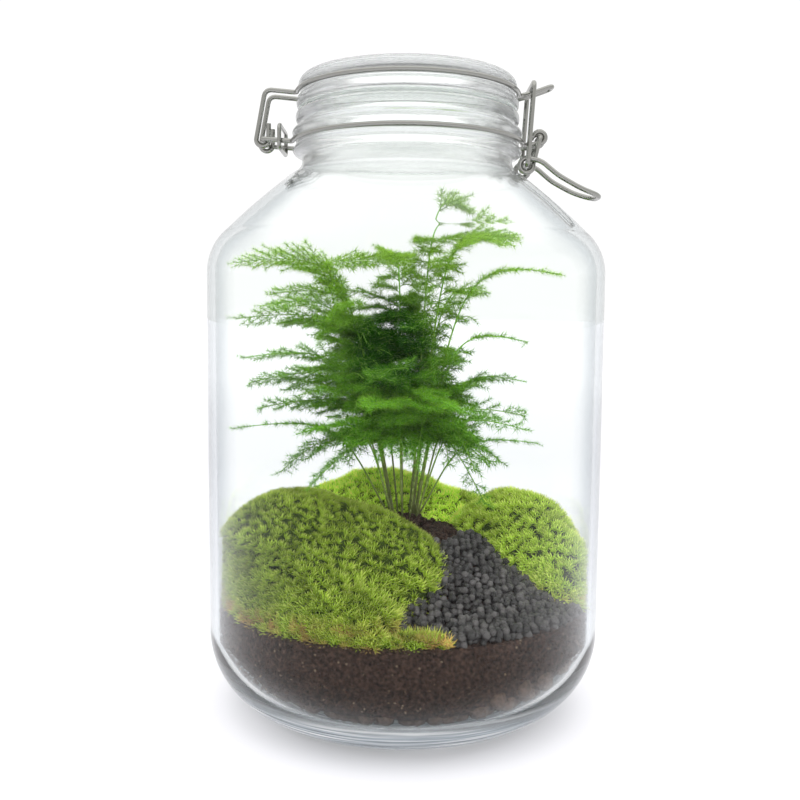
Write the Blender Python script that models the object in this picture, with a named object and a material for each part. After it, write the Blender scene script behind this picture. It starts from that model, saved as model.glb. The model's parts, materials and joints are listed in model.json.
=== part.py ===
"""A clip-top glass jar planted as a terrarium: soil, moss mounds, a gravel path and an asparagus fern.

The jar stands on the origin and turns about +Z. The lid hinges at -X and latches at +X.
Every size below is in millimetres until it reaches the mesh, which is in metres.
"""

import math

import bmesh
import bpy
import numpy as np
from mathutils import Vector

MM = 0.001

# Jar
TURN_STEPS = 40
BODY_RADIUS = 88.0
WALL = 3.5
PUSH_UP = 2.0
FOOT_INNER = 43.5
FOOT_OUTER = 52.0
CORNER_RADIUS = BODY_RADIUS - FOOT_OUTER
STRAIGHT_TOP = 194.0
SHOULDER_RADIUS = 24.0
DOME_RADIUS = 300.0
DOME_START = 45.0
DOME_END = 52.4
NECK_RADIUS = 46.5
BEAD_RADIUS = 50.7
NECK_GROOVE_RADIUS = 49.3
RIM_RADIUS = 49.2
RIM_TOP = 264.0
MOUTH_RADIUS = 41.0
INNER_RADIUS = BODY_RADIUS - WALL
INNER_FLOOR = 7.5
INNER_CORNER = 30.0

# Lid and seal
SEAL_GAP = 0.35
GASKET_THICKNESS = 1.6
GASKET_INNER = 40.0
GASKET_OUTER = 48.4
LID_UNDERSIDE = RIM_TOP + GASKET_THICKNESS + 2 * SEAL_GAP
LID_TOP = 279.5
LID_RADIUS = 48.2
LID_FLANGE_RADIUS = 49.0
LID_GROOVE_RADIUS = 47.3
PLUG_RADIUS = 38.0
PLUG_BOTTOM = 259.4

# Wirework, as centre lines
WIRE_RADIUS = 1.15
LEVER_WIRE_RADIUS = 1.1
CLIP_WIRE_RADIUS = 0.9
NECK_RING_RADIUS = 51.0
NECK_RING_Z = 251.0
LID_RING_RADIUS = 48.9
LID_RING_Z = 272.4
HINGE = (-63.5, 252.0)
HINGE_COIL = 2.7
HINGE_TAIL_Z = 259.0
NECK_HINGE_Y = 9.5
LID_HINGE_Y = 6.6
CATCH_Y = 3.1
CATCH_TIP = (63.7, 277.0)
CATCH_DIP = (54.5, 273.7)
LEVER_PIVOT = (58.2, 254.5)
LEVER_EYE = 2.6
EYE_Y = 4.1
ARM_Y = 6.9
BAIL_PIVOT = (52.3, 241.8)
LEVER_COIL = 3.0
COIL_Y = 9.4
BAIL_Y = 12.0
BAIL_TOP = (54.5, 276.8)
HANDLE_TIP = (85.3, 229.0)
HANDLE_Y = 6.6
CLIP_X = -55.5
CLIP_HALF_WIDTH = 11.9
CLIP_HALF_HEIGHT = 5.1
CLIP_Z = 253.0

# Contents
FIT_GAP = 0.4
CORNER_GAP = 0.7
STEM_LIFT = 0.9
DRAINAGE_TOP = 17.7
SOIL_BOTTOM = DRAINAGE_TOP + FIT_GAP
SOIL_EDGE_Z = 50.0
SOIL_RISE = 30.0
CROWN_SHELF = 12.0
SOIL_RADIUS = INNER_RADIUS - FIT_GAP
SOIL_ROWS = (0.0, 12.0, 24.0, 36.0, 48.0, 60.0, 72.0, SOIL_RADIUS)
COVER_ROWS = (24.0, 36.0, 48.0, 60.0, 72.0, SOIL_RADIUS - FIT_GAP)
COVER_EDGE = 1.0
GRAVEL_THICKNESS = 4.0
CROWN_RADIUS = 10.5
CROWN_TOP = 86.0
STEM_RADIUS = 0.75
BLADE_THICKNESS = 0.9
BLADE_START = 0.5
FROND_SECTIONS = 10
FROND_SIDES = 6
TALLEST_FROND = 226.0
SHORTEST_FROND = 98.0

# Each cover's first turn step, how many steps it spans, and its height over the soil
MOSS_MOUNDS = {
    "moss_mound_left": (16, 13, 38.0),
    "moss_mound_back": (7, 8, 32.0),
    "moss_mound_right": (36, 10, 33.0),
}
GRAVEL_PATH = (30, 5)

# Each frond's tip and the half width of its blade
FRONDS = {
    "fern_frond_left_top": ((-76.0, -6.0, 199.0), 9.0),
    "fern_frond_left_high": ((-69.0, 24.0, 180.0), 10.0),
    "fern_frond_left_middle": ((-70.0, -22.0, 157.0), 10.0),
    "fern_frond_left_inner": ((-52.0, 34.0, 149.0), 9.0),
    "fern_frond_left_low": ((-79.0, -2.0, 124.0), 9.0),
    "fern_frond_left_front": ((-44.0, -45.0, 127.0), 8.0),
    "fern_frond_crest": ((27.0, 9.0, 225.0), 8.0),
    "fern_frond_right_top": ((46.0, -13.0, 211.0), 8.0),
    "fern_frond_runner": ((70.0, 2.0, 195.0), 5.0),
    "fern_frond_right_high": ((42.0, 40.0, 187.0), 9.0),
    "fern_frond_right_middle": ((52.0, -24.0, 165.0), 9.0),
    "fern_frond_right_inner": ((56.0, 4.0, 146.0), 9.0),
    "fern_frond_right_low": ((50.0, -40.0, 129.0), 8.0),
    "fern_frond_right_tip": ((65.0, 24.0, 115.0), 8.0),
    "fern_frond_back_top": ((-8.0, 46.0, 205.0), 10.0),
    "fern_frond_back_left": ((-36.0, 60.0, 172.0), 10.0),
    "fern_frond_back_right": ((26.0, 62.0, 157.0), 10.0),
    "fern_frond_front": ((-8.0, -58.0, 152.0), 9.0),
    "fern_frond_front_right": ((22.0, -54.0, 138.0), 8.0),
}


def material(name, colour, roughness, metallic=0.0, transmission=0.0):
    """A Principled BSDF, its colour in linear light."""
    made = bpy.data.materials.new(name)
    made.use_nodes = True
    shader = made.node_tree.nodes["Principled BSDF"]
    shader.inputs["Base Color"].default_value = (*colour, 1.0)
    shader.inputs["Roughness"].default_value = roughness
    shader.inputs["Metallic"].default_value = metallic
    shader.inputs["Transmission Weight"].default_value = transmission
    return made


def clear_glass():
    return material("clear_glass", (0.93, 0.97, 0.95), 0.02, transmission=1.0)


def clear_rubber():
    return material("clear_rubber", (0.80, 0.84, 0.80), 0.35, transmission=0.6)


def steel_wire():
    return material("steel_wire", (0.55, 0.56, 0.57), 0.25, metallic=1.0)


def clay():
    return material("fired_clay", (0.30, 0.17, 0.10), 0.85)


def humus():
    return material("humus", (0.040, 0.026, 0.018), 0.95)


def basalt():
    return material("basalt_gravel", (0.035, 0.035, 0.038), 0.55)


def moss():
    return material("moss", (0.16, 0.22, 0.04), 0.90)


def fern_green():
    return material("fern_green", (0.07, 0.20, 0.03), 0.60)


def arc(centre_r, centre_z, radius, start, end, steps):
    """Points on a profile's arc, in degrees from the outward direction."""
    angles = np.radians(np.linspace(start, end, steps + 1))
    return [(centre_r + radius * math.cos(a), centre_z + radius * math.sin(a)) for a in angles]


def smooth_object(name, bm, made):
    """Links the mesh as an object with smooth sides and sharp edges."""
    bmesh.ops.recalc_face_normals(bm, faces=bm.faces)
    bmesh.ops.scale(bm, vec=(MM, MM, MM), verts=bm.verts)
    mesh = bpy.data.meshes.new(name)
    bm.to_mesh(mesh)
    bm.free()
    mesh.materials.append(made)
    mesh.shade_smooth()
    mesh.set_sharp_from_angle(angle=math.radians(40))
    thing = bpy.data.objects.new(name, mesh)
    bpy.context.collection.objects.link(thing)
    return thing


def turned(name, profile, made, closed=False):
    """Spins a profile of (radius, height) about +Z. An open profile starts and ends on the axis."""
    bm = bmesh.new()
    verts = [bm.verts.new((r, 0.0, z)) for r, z in profile]
    pairs = list(zip(verts, verts[1:]))
    if closed:
        pairs.append((verts[-1], verts[0]))
    edges = [bm.edges.new(pair) for pair in pairs]
    bmesh.ops.spin(
        bm,
        geom=verts + edges,
        axis=(0, 0, 1),
        cent=(0, 0, 0),
        angle=math.tau,
        steps=TURN_STEPS,
        use_merge=True,
    )
    bmesh.ops.remove_doubles(bm, verts=bm.verts, dist=MM)
    return smooth_object(name, bm, made)


def wire_path(stations):
    """Turns (point, bend) stations into points: a bend above 0 rounds that corner over that length."""
    points = []
    for i, (place, bend) in enumerate(stations):
        at = Vector(place)
        if not bend:
            points.append(at)
            continue
        before = Vector(stations[i - 1][0])
        after = Vector(stations[(i + 1) % len(stations)][0])
        start = at + (before - at).normalized() * bend
        end = at + (after - at).normalized() * bend
        for t in (0.0, 0.25, 0.5, 0.75, 1.0):
            points.append(start.lerp(at, t).lerp(at.lerp(end, t), t))
    return points


def wire(name, points, radius, made, closed=False):
    """A round wire along the points, as a curve with filled ends."""
    curve = bpy.data.curves.new(name, "CURVE")
    curve.dimensions = "3D"
    curve.bevel_depth = radius * MM
    curve.bevel_resolution = 1
    curve.use_fill_caps = not closed
    spline = curve.splines.new("POLY")
    spline.points.add(len(points) - 1)
    for knot, point in zip(spline.points, points):
        knot.co = (*(point * MM), 1.0)
    spline.use_cyclic_u = closed
    curve.materials.append(made)
    thing = bpy.data.objects.new(name, curve)
    bpy.context.collection.objects.link(thing)
    return thing


def mirrored(half):
    """A whole wire from its front half: the half, then its mirror image walked back."""
    back = [((x, -y, z), bend) for (x, y, z), bend in reversed(half)]
    return half + back


def side_turn(centre, radius, start_y, end_y, start, end, steps):
    """Stations on a turn about a cross axis, from one Y to another."""
    stations = []
    for i in range(steps + 1):
        share = i / steps
        angle = math.radians(start + (end - start) * share)
        x = centre[0] + radius * math.cos(angle)
        z = centre[1] + radius * math.sin(angle)
        stations.append(((x, start_y + (end_y - start_y) * share, z), 0.0))
    return stations


def ring_turn(radius, z, start, end, steps):
    """Stations round the neck at one height."""
    angles = np.radians(np.linspace(start, end, steps + 1))
    return [((radius * math.cos(a), radius * math.sin(a), z), 0.0) for a in angles]


def inner_corner_angle(z):
    """Where the jar's inner corner reaches a height, in degrees."""
    return -math.degrees(math.asin((INNER_FLOOR + INNER_CORNER - z) / INNER_CORNER))


def jar_body():
    """Blown glass: flat foot ring, rounded base, straight wall, domed shoulder, beaded neck and rim."""
    shoulder_r = BODY_RADIUS - SHOULDER_RADIUS
    run = (DOME_RADIUS - SHOULDER_RADIUS) * math.cos(math.radians(DOME_START))
    dome_r = shoulder_r - run
    dome_z = STRAIGHT_TOP - run
    inner_r = INNER_RADIUS - INNER_CORNER
    outside = [(0.0, PUSH_UP), (FOOT_INNER - 3.5, PUSH_UP), (FOOT_INNER, 0.0)]
    outside += arc(FOOT_OUTER, CORNER_RADIUS, CORNER_RADIUS, -90, 0, 6)
    outside += arc(shoulder_r, STRAIGHT_TOP, SHOULDER_RADIUS, 0, DOME_START, 4)
    outside += arc(dome_r, dome_z, DOME_RADIUS, DOME_START, DOME_END, 2)[1:]
    outside += [(49.1, 238.2), (47.2, 240.3), (NECK_RADIUS, 242.8), (NECK_RADIUS, 245.2)]
    outside += [(49.8, 246.3), (BEAD_RADIUS, 247.6), (49.8, 248.9)]
    outside += [(NECK_GROOVE_RADIUS, 250.0), (NECK_GROOVE_RADIUS, 252.0)]
    outside += [(50.2, 253.3), (BEAD_RADIUS, 254.8), (50.2, 256.5)]
    outside += [(47.4, 258.0), (47.4, 259.4), (RIM_RADIUS, 260.6), (RIM_RADIUS, 262.8)]
    outside += [(RIM_RADIUS - 1.2, RIM_TOP), (MOUTH_RADIUS + 1.0, RIM_TOP)]
    inside = [(MOUTH_RADIUS, RIM_TOP - 1.0), (MOUTH_RADIUS, 243.5), (43.2, 238.6)]
    inside += arc(dome_r, dome_z, DOME_RADIUS - WALL, DOME_END, DOME_START, 2)
    inside += arc(shoulder_r, STRAIGHT_TOP, SHOULDER_RADIUS - WALL, DOME_START, 0, 4)[1:]
    inside += arc(inner_r, INNER_FLOOR + INNER_CORNER, INNER_CORNER, 0, -90, 6)
    inside += [(0.0, INNER_FLOOR)]
    return turned("jar_body", outside + inside, clear_glass())


def lid_glass():
    """Pressed glass lid with a groove for its wire and a plug that fits the mouth."""
    profile = [(0.0, LID_TOP)]
    profile += arc(LID_RADIUS - 4.0, LID_TOP - 4.0, 4.0, 90, 0, 3)
    profile += [(LID_GROOVE_RADIUS, 273.7), (LID_GROOVE_RADIUS, 271.1)]
    profile += [(LID_FLANGE_RADIUS - 0.4, 270.1), (LID_FLANGE_RADIUS, 269.0)]
    profile += [(LID_FLANGE_RADIUS, LID_UNDERSIDE + 0.6), (LID_FLANGE_RADIUS - 0.8, LID_UNDERSIDE)]
    profile += [(PLUG_RADIUS + 1.2, LID_UNDERSIDE), (PLUG_RADIUS, PLUG_BOTTOM + 1.0)]
    profile += [(PLUG_RADIUS - 1.0, PLUG_BOTTOM), (PLUG_RADIUS - 4.5, PLUG_BOTTOM)]
    profile += [(PLUG_RADIUS - 6.5, 270.5), (PLUG_RADIUS - 9.0, 272.6), (0.0, 273.4)]
    return turned("lid_glass", profile, clear_glass())


def lid_gasket():
    """A flat sealing ring round the plug, between the lid and the rim."""
    low = RIM_TOP + SEAL_GAP
    high = low + GASKET_THICKNESS
    profile = [(GASKET_INNER, low), (GASKET_OUTER, low), (GASKET_OUTER, high), (GASKET_INNER, high)]
    return turned("lid_gasket", profile, clear_rubber(), closed=True)


def neck_ring():
    """One wire: an eye, half the neck, the hinge bar, the other half and the other eye."""
    half = side_turn(LEVER_PIVOT, LEVER_EYE, -EYE_Y, -EYE_Y, 175, -90, 9)
    half += [((NECK_RING_RADIUS - 0.2, -EYE_Y, NECK_RING_Z), 4.0)]
    half += ring_turn(NECK_RING_RADIUS, NECK_RING_Z, -10, -168, 16)
    half += [((-NECK_RING_RADIUS + 1.0, -NECK_HINGE_Y, NECK_RING_Z), 1.2)]
    half += [((HINGE[0], -NECK_HINGE_Y, HINGE[1]), 2.0)]
    return wire("neck_ring", wire_path(mirrored(half)), WIRE_RADIUS, steel_wire())


def neck_ring_clip():
    """The oblong ring that ties the two hinge arms of the neck ring together."""
    low = CLIP_Z - CLIP_HALF_HEIGHT
    high = CLIP_Z + CLIP_HALF_HEIGHT
    side = CLIP_HALF_WIDTH
    corners = [(-side, low), (side, low), (side, high), (-side, high)]
    path = wire_path([((CLIP_X, y, z), 3.0) for y, z in corners])
    return wire("neck_ring_clip", path, CLIP_WIRE_RADIUS, steel_wire(), closed=True)


def lid_wire():
    """One wire: a hinge coil, half the lid, the catch, the other half and the other coil."""
    coil = side_turn(HINGE, HINGE_COIL, -LID_HINGE_Y, -LID_HINGE_Y, 360, 172, 7)
    half = [((HINGE[0] + HINGE_COIL, -LID_HINGE_Y, HINGE_TAIL_Z), 0.0)] + coil
    half += [((-62.2, -LID_HINGE_Y, 273.6), 3.2)]
    half += [((-LID_RING_RADIUS + 0.4, -LID_HINGE_Y, LID_RING_Z), 2.0)]
    half += ring_turn(LID_RING_RADIUS, LID_RING_Z, -170, -9, 16)
    half += [((LID_RING_RADIUS - 0.1, -CATCH_Y, LID_RING_Z), 2.6)]
    half += [((CATCH_DIP[0], -CATCH_Y, CATCH_DIP[1]), 2.6)]
    half += [((CATCH_TIP[0], -CATCH_Y, CATCH_TIP[1]), 2.6)]
    return wire("lid_wire", wire_path(mirrored(half)), WIRE_RADIUS, steel_wire())


def latch_lever():
    """One wire: a pin in the neck ring's eye, an arm, a coil for the bail, and a looped handle."""
    half = [((LEVER_PIVOT[0], -2.4, LEVER_PIVOT[1]), 0.0)]
    half += [((LEVER_PIVOT[0], -ARM_Y, LEVER_PIVOT[1]), 2.0)]
    half += side_turn(BAIL_PIVOT, LEVER_COIL, -ARM_Y, -COIL_Y, 10, -270, 9)
    half += [((58.5, -COIL_Y - 0.1, 243.6), 2.5), ((66.0, -10.0, 237.4), 3.0)]
    half += [((76.0, -9.4, 232.0), 4.0), ((HANDLE_TIP[0], -HANDLE_Y, HANDLE_TIP[1]), 5.0)]
    return wire("latch_lever", wire_path(mirrored(half)), LEVER_WIRE_RADIUS, steel_wire())


def latch_bail():
    """The closed loop that pulls the catch down, hung in the lever's coils."""
    corners = [(BAIL_PIVOT, -BAIL_Y, 2.4), (BAIL_TOP, -BAIL_Y, 3.0)]
    corners += [(BAIL_TOP, BAIL_Y, 3.0), (BAIL_PIVOT, BAIL_Y, 2.4)]
    path = wire_path([((place[0], y, place[1]), bend) for place, y, bend in corners])
    return wire("latch_bail", path, LEVER_WIRE_RADIUS, steel_wire(), closed=True)


def drainage_layer():
    """Clay balls under the soil, as one disc that fits the jar's rounded floor."""
    inner_r = INNER_RADIUS - INNER_CORNER
    radius = INNER_CORNER - CORNER_GAP
    centre_z = INNER_FLOOR + INNER_CORNER
    top_angle = inner_corner_angle(DRAINAGE_TOP)
    profile = [(0.0, INNER_FLOOR + FIT_GAP)]
    profile += arc(inner_r, centre_z, radius, -90, top_angle, 3) + [(0.0, DRAINAGE_TOP)]
    return turned("drainage_layer", profile, clay())


def soil_height(radius):
    """The soil's surface, straight between its rows."""
    rows = np.array(SOIL_ROWS)
    share = np.clip((rows - CROWN_SHELF) / (SOIL_RADIUS - CROWN_SHELF), 0, 1)
    heights = SOIL_EDGE_Z + SOIL_RISE * (0.5 + 0.5 * np.cos(math.pi * share))
    return float(np.interp(radius, rows, heights))


def soil():
    """Humus heaped up towards the plant."""
    inner_r = INNER_RADIUS - INNER_CORNER
    radius = INNER_CORNER - CORNER_GAP
    centre_z = INNER_FLOOR + INNER_CORNER
    bottom_angle = inner_corner_angle(SOIL_BOTTOM)
    corner = arc(inner_r, centre_z, radius, bottom_angle, 0, 3)
    surface = [(r, soil_height(r)) for r in reversed(SOIL_ROWS)]
    return turned("soil", [(0.0, corner[0][1])] + corner + surface, humus())


def cover(name, first, count, thickness, made):
    """A layer that lies on the soil between two turn steps, as deep as thickness(across, along) says.

    across and along run from -1 to 1 over its angle and its radius.
    """
    bm = bmesh.new()
    grid = []
    for i in range(count + 1):
        angle = math.tau * (first + i) / TURN_STEPS
        row = []
        for r in COVER_ROWS:
            z = soil_height(r) + FIT_GAP
            row.append(bm.verts.new((r * math.cos(angle), r * math.sin(angle), z)))
        grid.append(row)
    for left, right in zip(grid, grid[1:]):
        for quad in zip(left, left[1:], right[1:], right):
            bm.faces.new(quad)
    raised = bmesh.ops.extrude_face_region(bm, geom=list(bm.faces))
    middle_angle = math.tau * (first + count / 2) / TURN_STEPS
    half_angle = math.pi * count / TURN_STEPS
    middle_r = (COVER_ROWS[0] + COVER_ROWS[-1]) / 2
    half_r = (COVER_ROWS[-1] - COVER_ROWS[0]) / 2
    for vert in (item for item in raised["geom"] if isinstance(item, bmesh.types.BMVert)):
        turn = math.atan2(vert.co.y, vert.co.x) - middle_angle
        across = (math.remainder(turn, math.tau)) / half_angle
        along = (math.hypot(vert.co.x, vert.co.y) - middle_r) / half_r
        vert.co.z += thickness(across, along)
    return smooth_object(name, bm, made)


def moss_mound(name):
    """A dome of moss that is still half as deep where it meets the glass."""
    first, count, height = MOSS_MOUNDS[name]

    def thickness(across, along):
        dome = math.sqrt(max(0.0, 1.0 - across * across))
        reach = 1.0 - (0.55 * along * along if along > 0 else 0.92 * along * along)
        return COVER_EDGE + (height - COVER_EDGE) * dome * max(0.0, reach)

    return cover(name, first, count, thickness, moss())


def gravel_path():
    """Black gravel from the plant out to the front glass."""
    first, count = GRAVEL_PATH
    return cover("gravel_path", first, count, lambda across, along: GRAVEL_THICKNESS, basalt())


def fern_crown():
    """The fern's root crown, low on top of the soil."""
    low = SOIL_EDGE_Z + SOIL_RISE + FIT_GAP
    profile = [(0.0, low), (CROWN_RADIUS, low), (CROWN_RADIUS, low + 2.0)]
    profile += [(CROWN_RADIUS - 1.5, CROWN_TOP), (0.0, CROWN_TOP)]
    return turned("fern_crown", profile, humus())


def frond_line(tip):
    """A frond's centre line: up from the crown, then arching out to its tip."""
    out = Vector((tip[0], tip[1], 0.0)).normalized()
    tallness = (tip[2] - SHORTEST_FROND) / (TALLEST_FROND - SHORTEST_FROND)
    start = out * (8.3 - 4.5 * tallness)
    start.z = CROWN_TOP + STEM_LIFT
    end = Vector(tip)
    reach = math.hypot(tip[0], tip[1])
    climb = start + out * 0.12 * reach + Vector((0, 0, 0.85 * (tip[2] - CROWN_TOP)))
    fall = end - out * 0.5 * reach + Vector((0, 0, 6.0))
    points = []
    for i in range(FROND_SECTIONS + 1):
        t = i / FROND_SECTIONS
        u = 1.0 - t
        point = start * u**3 + climb * 3 * u * u * t + fall * 3 * u * t * t + end * t**3
        points.append(point)
    return points


def frond(name):
    """A bare stem that widens into a thin, nearly level blade."""
    tip, half_width = FRONDS[name]
    line = frond_line(tip)
    side = Vector((0, 0, 1)).cross(Vector((tip[0], tip[1], 0))).normalized()
    bm = bmesh.new()
    rings = []
    for i, point in enumerate(line):
        ahead = line[min(i + 1, FROND_SECTIONS)] - line[max(i - 1, 0)]
        lift = ahead.cross(side).normalized()
        share = max(0.0, (i / FROND_SECTIONS - BLADE_START) / (1.0 - BLADE_START))
        wide = STEM_RADIUS + (half_width - STEM_RADIUS) * math.sin(math.pi * share**0.8)
        thick = STEM_RADIUS + (BLADE_THICKNESS - STEM_RADIUS) * share
        ring = []
        for k in range(FROND_SIDES):
            angle = math.tau * k / FROND_SIDES
            place = point + side * wide * math.cos(angle) + lift * thick * math.sin(angle)
            ring.append(bm.verts.new(place))
        rings.append(ring)
    for lower, upper in zip(rings, rings[1:]):
        for k in range(FROND_SIDES):
            n = (k + 1) % FROND_SIDES
            bm.faces.new((lower[k], lower[n], upper[n], upper[k]))
    bm.faces.new(rings[0])
    bm.faces.new(rings[-1])
    return smooth_object(name, bm, fern_green())


def main():
    for thing in list(bpy.data.objects):
        bpy.data.objects.remove(thing)
    jar_body()
    lid_glass()
    lid_gasket()
    neck_ring()
    neck_ring_clip()
    lid_wire()
    latch_lever()
    latch_bail()
    drainage_layer()
    soil()
    for name in MOSS_MOUNDS:
        moss_mound(name)
    gravel_path()
    fern_crown()
    for name in FRONDS:
        frond(name)


main()
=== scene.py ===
"""A clip-top glass jar planted as a terrarium: moss mounds, black gravel, humus and an asparagus fern."""

import json
import math

import bmesh
import bpy
import numpy as np
from mathutils import Matrix, Vector, noise


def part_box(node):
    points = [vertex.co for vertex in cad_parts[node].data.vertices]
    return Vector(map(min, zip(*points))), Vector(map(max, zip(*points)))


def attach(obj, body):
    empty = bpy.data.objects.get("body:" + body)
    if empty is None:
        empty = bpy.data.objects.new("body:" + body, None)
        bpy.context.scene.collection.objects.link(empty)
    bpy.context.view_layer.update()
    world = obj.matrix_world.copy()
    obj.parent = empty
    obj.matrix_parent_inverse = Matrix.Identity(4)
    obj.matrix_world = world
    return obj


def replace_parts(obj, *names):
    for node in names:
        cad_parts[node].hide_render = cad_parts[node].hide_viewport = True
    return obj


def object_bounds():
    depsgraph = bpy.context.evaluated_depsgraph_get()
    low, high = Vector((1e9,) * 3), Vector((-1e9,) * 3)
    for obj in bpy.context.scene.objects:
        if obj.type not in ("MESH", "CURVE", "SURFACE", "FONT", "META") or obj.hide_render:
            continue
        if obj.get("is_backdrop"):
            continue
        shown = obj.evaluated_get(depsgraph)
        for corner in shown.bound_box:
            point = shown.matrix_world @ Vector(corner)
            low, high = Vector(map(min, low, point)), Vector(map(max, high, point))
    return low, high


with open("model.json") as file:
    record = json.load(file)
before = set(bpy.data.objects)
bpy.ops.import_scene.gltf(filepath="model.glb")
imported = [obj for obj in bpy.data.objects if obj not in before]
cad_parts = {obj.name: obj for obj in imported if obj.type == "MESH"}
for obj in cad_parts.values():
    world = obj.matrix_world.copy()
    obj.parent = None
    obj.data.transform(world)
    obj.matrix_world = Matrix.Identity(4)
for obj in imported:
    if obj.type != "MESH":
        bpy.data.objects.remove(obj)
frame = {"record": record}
cad_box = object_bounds()

bl_info = {
    "name": "Clip-top jar terrarium",
    "version": (1, 0, 0),
    "blender": (4, 5, 0),
    "location": "3D View > Sidebar > Terrarium",
    "description": "Glazes, wires and plants a clip-top jar around its packed solids",
    "category": "Add Mesh",
}

MM = 0.001
_, JAR_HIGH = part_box("jar_body")
CROWN_LOW, CROWN_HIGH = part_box("fern_crown")
JOINTS = {joint["name"]: joint for joint in frame["record"]["behaviour"]["joints"]}

# Jar outline, in millimetres
BODY_RADIUS = JAR_HIGH.x / MM
RIM_TOP = JAR_HIGH.z / MM
WALL = 3.5
FOOT_INNER = 43.5
FOOT_OUTER = 52.0
STRAIGHT_TOP = 194.0
SHOULDER_RADIUS = 24.0
DOME_RADIUS = 300.0
DOME_START = 45.0
DOME_END = 52.4
MOUTH_RADIUS = 41.0
INNER_RADIUS = BODY_RADIUS - WALL
INNER_FLOOR = 7.5
INNER_CORNER = 30.0
INNER_ARC_RADIUS = INNER_RADIUS - INNER_CORNER
INNER_ARC_Z = INNER_FLOOR + INNER_CORNER
GLASS_STEPS = 180

# Wire centre lines, in millimetres
NECK_RING_RADIUS = 51.0
NECK_RING_Z = 251.0
LID_RING_RADIUS = 48.9
LID_RING_Z = 272.4
NECK_HINGE_Y = 9.5
LID_HINGE_Y = 6.6
CATCH_Y = 3.1
EYE_Y = 4.1
ARM_Y = 6.9
COIL_Y = 9.4
BAIL_Y = 12.0
HANDLE_Y = 6.6

# Soil surface, in millimetres
SOIL_EDGE_Z = 50.0
SOIL_RISE = 30.0
CROWN_SHELF = 12.0
SOIL_RADIUS = INNER_RADIUS - 0.4

# Crumbs on the soil's top and in its face, and clay balls in sight at the right: degrees and height
TOP_CRUMBS = 900
FACE_CRUMBS = 2600
FACE_LOW_Z = 24.0
CLAY_IN_SIGHT = [(-62, 26), (-57, 22), (-53, 28), (-49, 23), (-45, 29), (-41, 25), (-66, 21), (-33, 30)]
CLAY_TOP_Z = 33.0

# Moss: its reach along X and Y, how near the glass it comes, and where the right mound starts. Each
# dome has an x, a y, a radius and a top height
MOSS_REACH = 84.0
MOSS_LIMIT = INNER_RADIUS - 1.6
MOSS_FLOOR_Z = 46.0
RIGHT_MOUND_X = 15.0
MOSS_DOMES = {
    "moss_mound_left": (
        (-46, -18, 45, 100),
        (-12, -29, 36, 91),
        (-50, -50, 40, 86),
        (-22, -60, 25, 72),
        (4, -80, 17, 55),
    ),
    "moss_mound_back": ((-10, 42, 43, 99), (24, 38, 37, 89), (-42, 42, 32, 88)),
    "moss_mound_right": ((57, 8, 31, 93), (40, 12, 27, 88), (50, 34, 32, 88), (72, -12, 22, 78)),
}

# Fern fronds: the tip of each, and the half width, tilt and first point of its spray
FRONDS = {
    "fern_frond_left_top": ((-76.0, -6.0, 199.0), 26.0, 0.4, 16),
    "fern_frond_left_high": ((-69.0, 24.0, 180.0), 24.0, -0.3, 17),
    "fern_frond_left_middle": ((-70.0, -22.0, 157.0), 19.0, 0.3, 19),
    "fern_frond_left_inner": ((-52.0, 34.0, 149.0), 17.0, -0.3, 17),
    "fern_frond_left_low": ((-79.0, -2.0, 124.0), 7.0, 0.1, 18),
    "fern_frond_left_front": ((-44.0, -45.0, 127.0), 12.0, 0.4, 17),
    "fern_frond_crest": ((27.0, 9.0, 225.0), 18.0, 0.6, 26),
    "fern_frond_right_top": ((46.0, -13.0, 211.0), 25.0, 0.55, 21),
    "fern_frond_runner": ((70.0, 2.0, 195.0), 6.0, 0.2, 23),
    "fern_frond_right_high": ((42.0, 40.0, 187.0), 16.0, -0.2, 20),
    "fern_frond_right_middle": ((52.0, -24.0, 165.0), 8.0, 0.1, 20),
    "fern_frond_right_inner": ((56.0, 4.0, 146.0), 12.0, -0.3, 17),
    "fern_frond_right_low": ((50.0, -40.0, 129.0), 11.0, 0.3, 17),
    "fern_frond_right_tip": ((65.0, 24.0, 115.0), 7.0, -0.1, 18),
    "fern_frond_back_top": ((-8.0, 46.0, 205.0), 17.0, 0.2, 20),
    "fern_frond_back_left": ((-36.0, 60.0, 172.0), 17.0, -0.2, 17),
    "fern_frond_back_right": ((26.0, 62.0, 157.0), 12.0, 0.1, 17),
    "fern_frond_front": ((-8.0, -58.0, 152.0), 16.0, 0.3, 17),
    "fern_frond_front_right": ((22.0, -54.0, 138.0), 12.0, -0.3, 17),
}

# Level sprays that fill the sides: the height where each leaves its stem, its direction and reach
LEVEL_SPRAYS = {
    "fern_frond_left_top": (198.0, (1.0, -0.1, 0.05), 42.0),
    "fern_frond_left_high": (174.0, (-1.0, -0.25, 0.0), 48.0),
    "fern_frond_left_middle": (150.0, (-1.0, -0.3, -0.1), 40.0),
    "fern_frond_left_inner": (137.0, (-1.0, -0.45, -0.05), 48.0),
    "fern_frond_right_inner": (133.0, (1.0, -0.5, 0.0), 34.0),
    "fern_frond_crest": (213.0, (1.0, -0.3, 0.02), 38.0),
}

# The fern's dense heart, with more sprays and painted darker as painted shade: x and z of its middle, and
# its half width and half height
HEART = (-8.0, 163.0, 19.0, 24.0)

# Heights in the fern, in millimetres: where a stem has side sprays, the tops of its drooping and
# filled ones, of the paler low needles and of its long ones, and where the crest starts
STEM_SPRAYS_Z = (119.0, 214.0)
DROOP_TOP_Z = 128.0
FILLED_TOP_Z = 142.0
PALE_TOP_Z = 145.0
LONG_TOP_Z = 186.0
CREST_Z = 188.0

# Room between leaves and glass, and how the shoulder closes in above one height, in millimetres
LEAF_GAP = 3.5
CLOSING_Z = 203.0
CLOSING_SLOPE = 1.08


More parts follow.
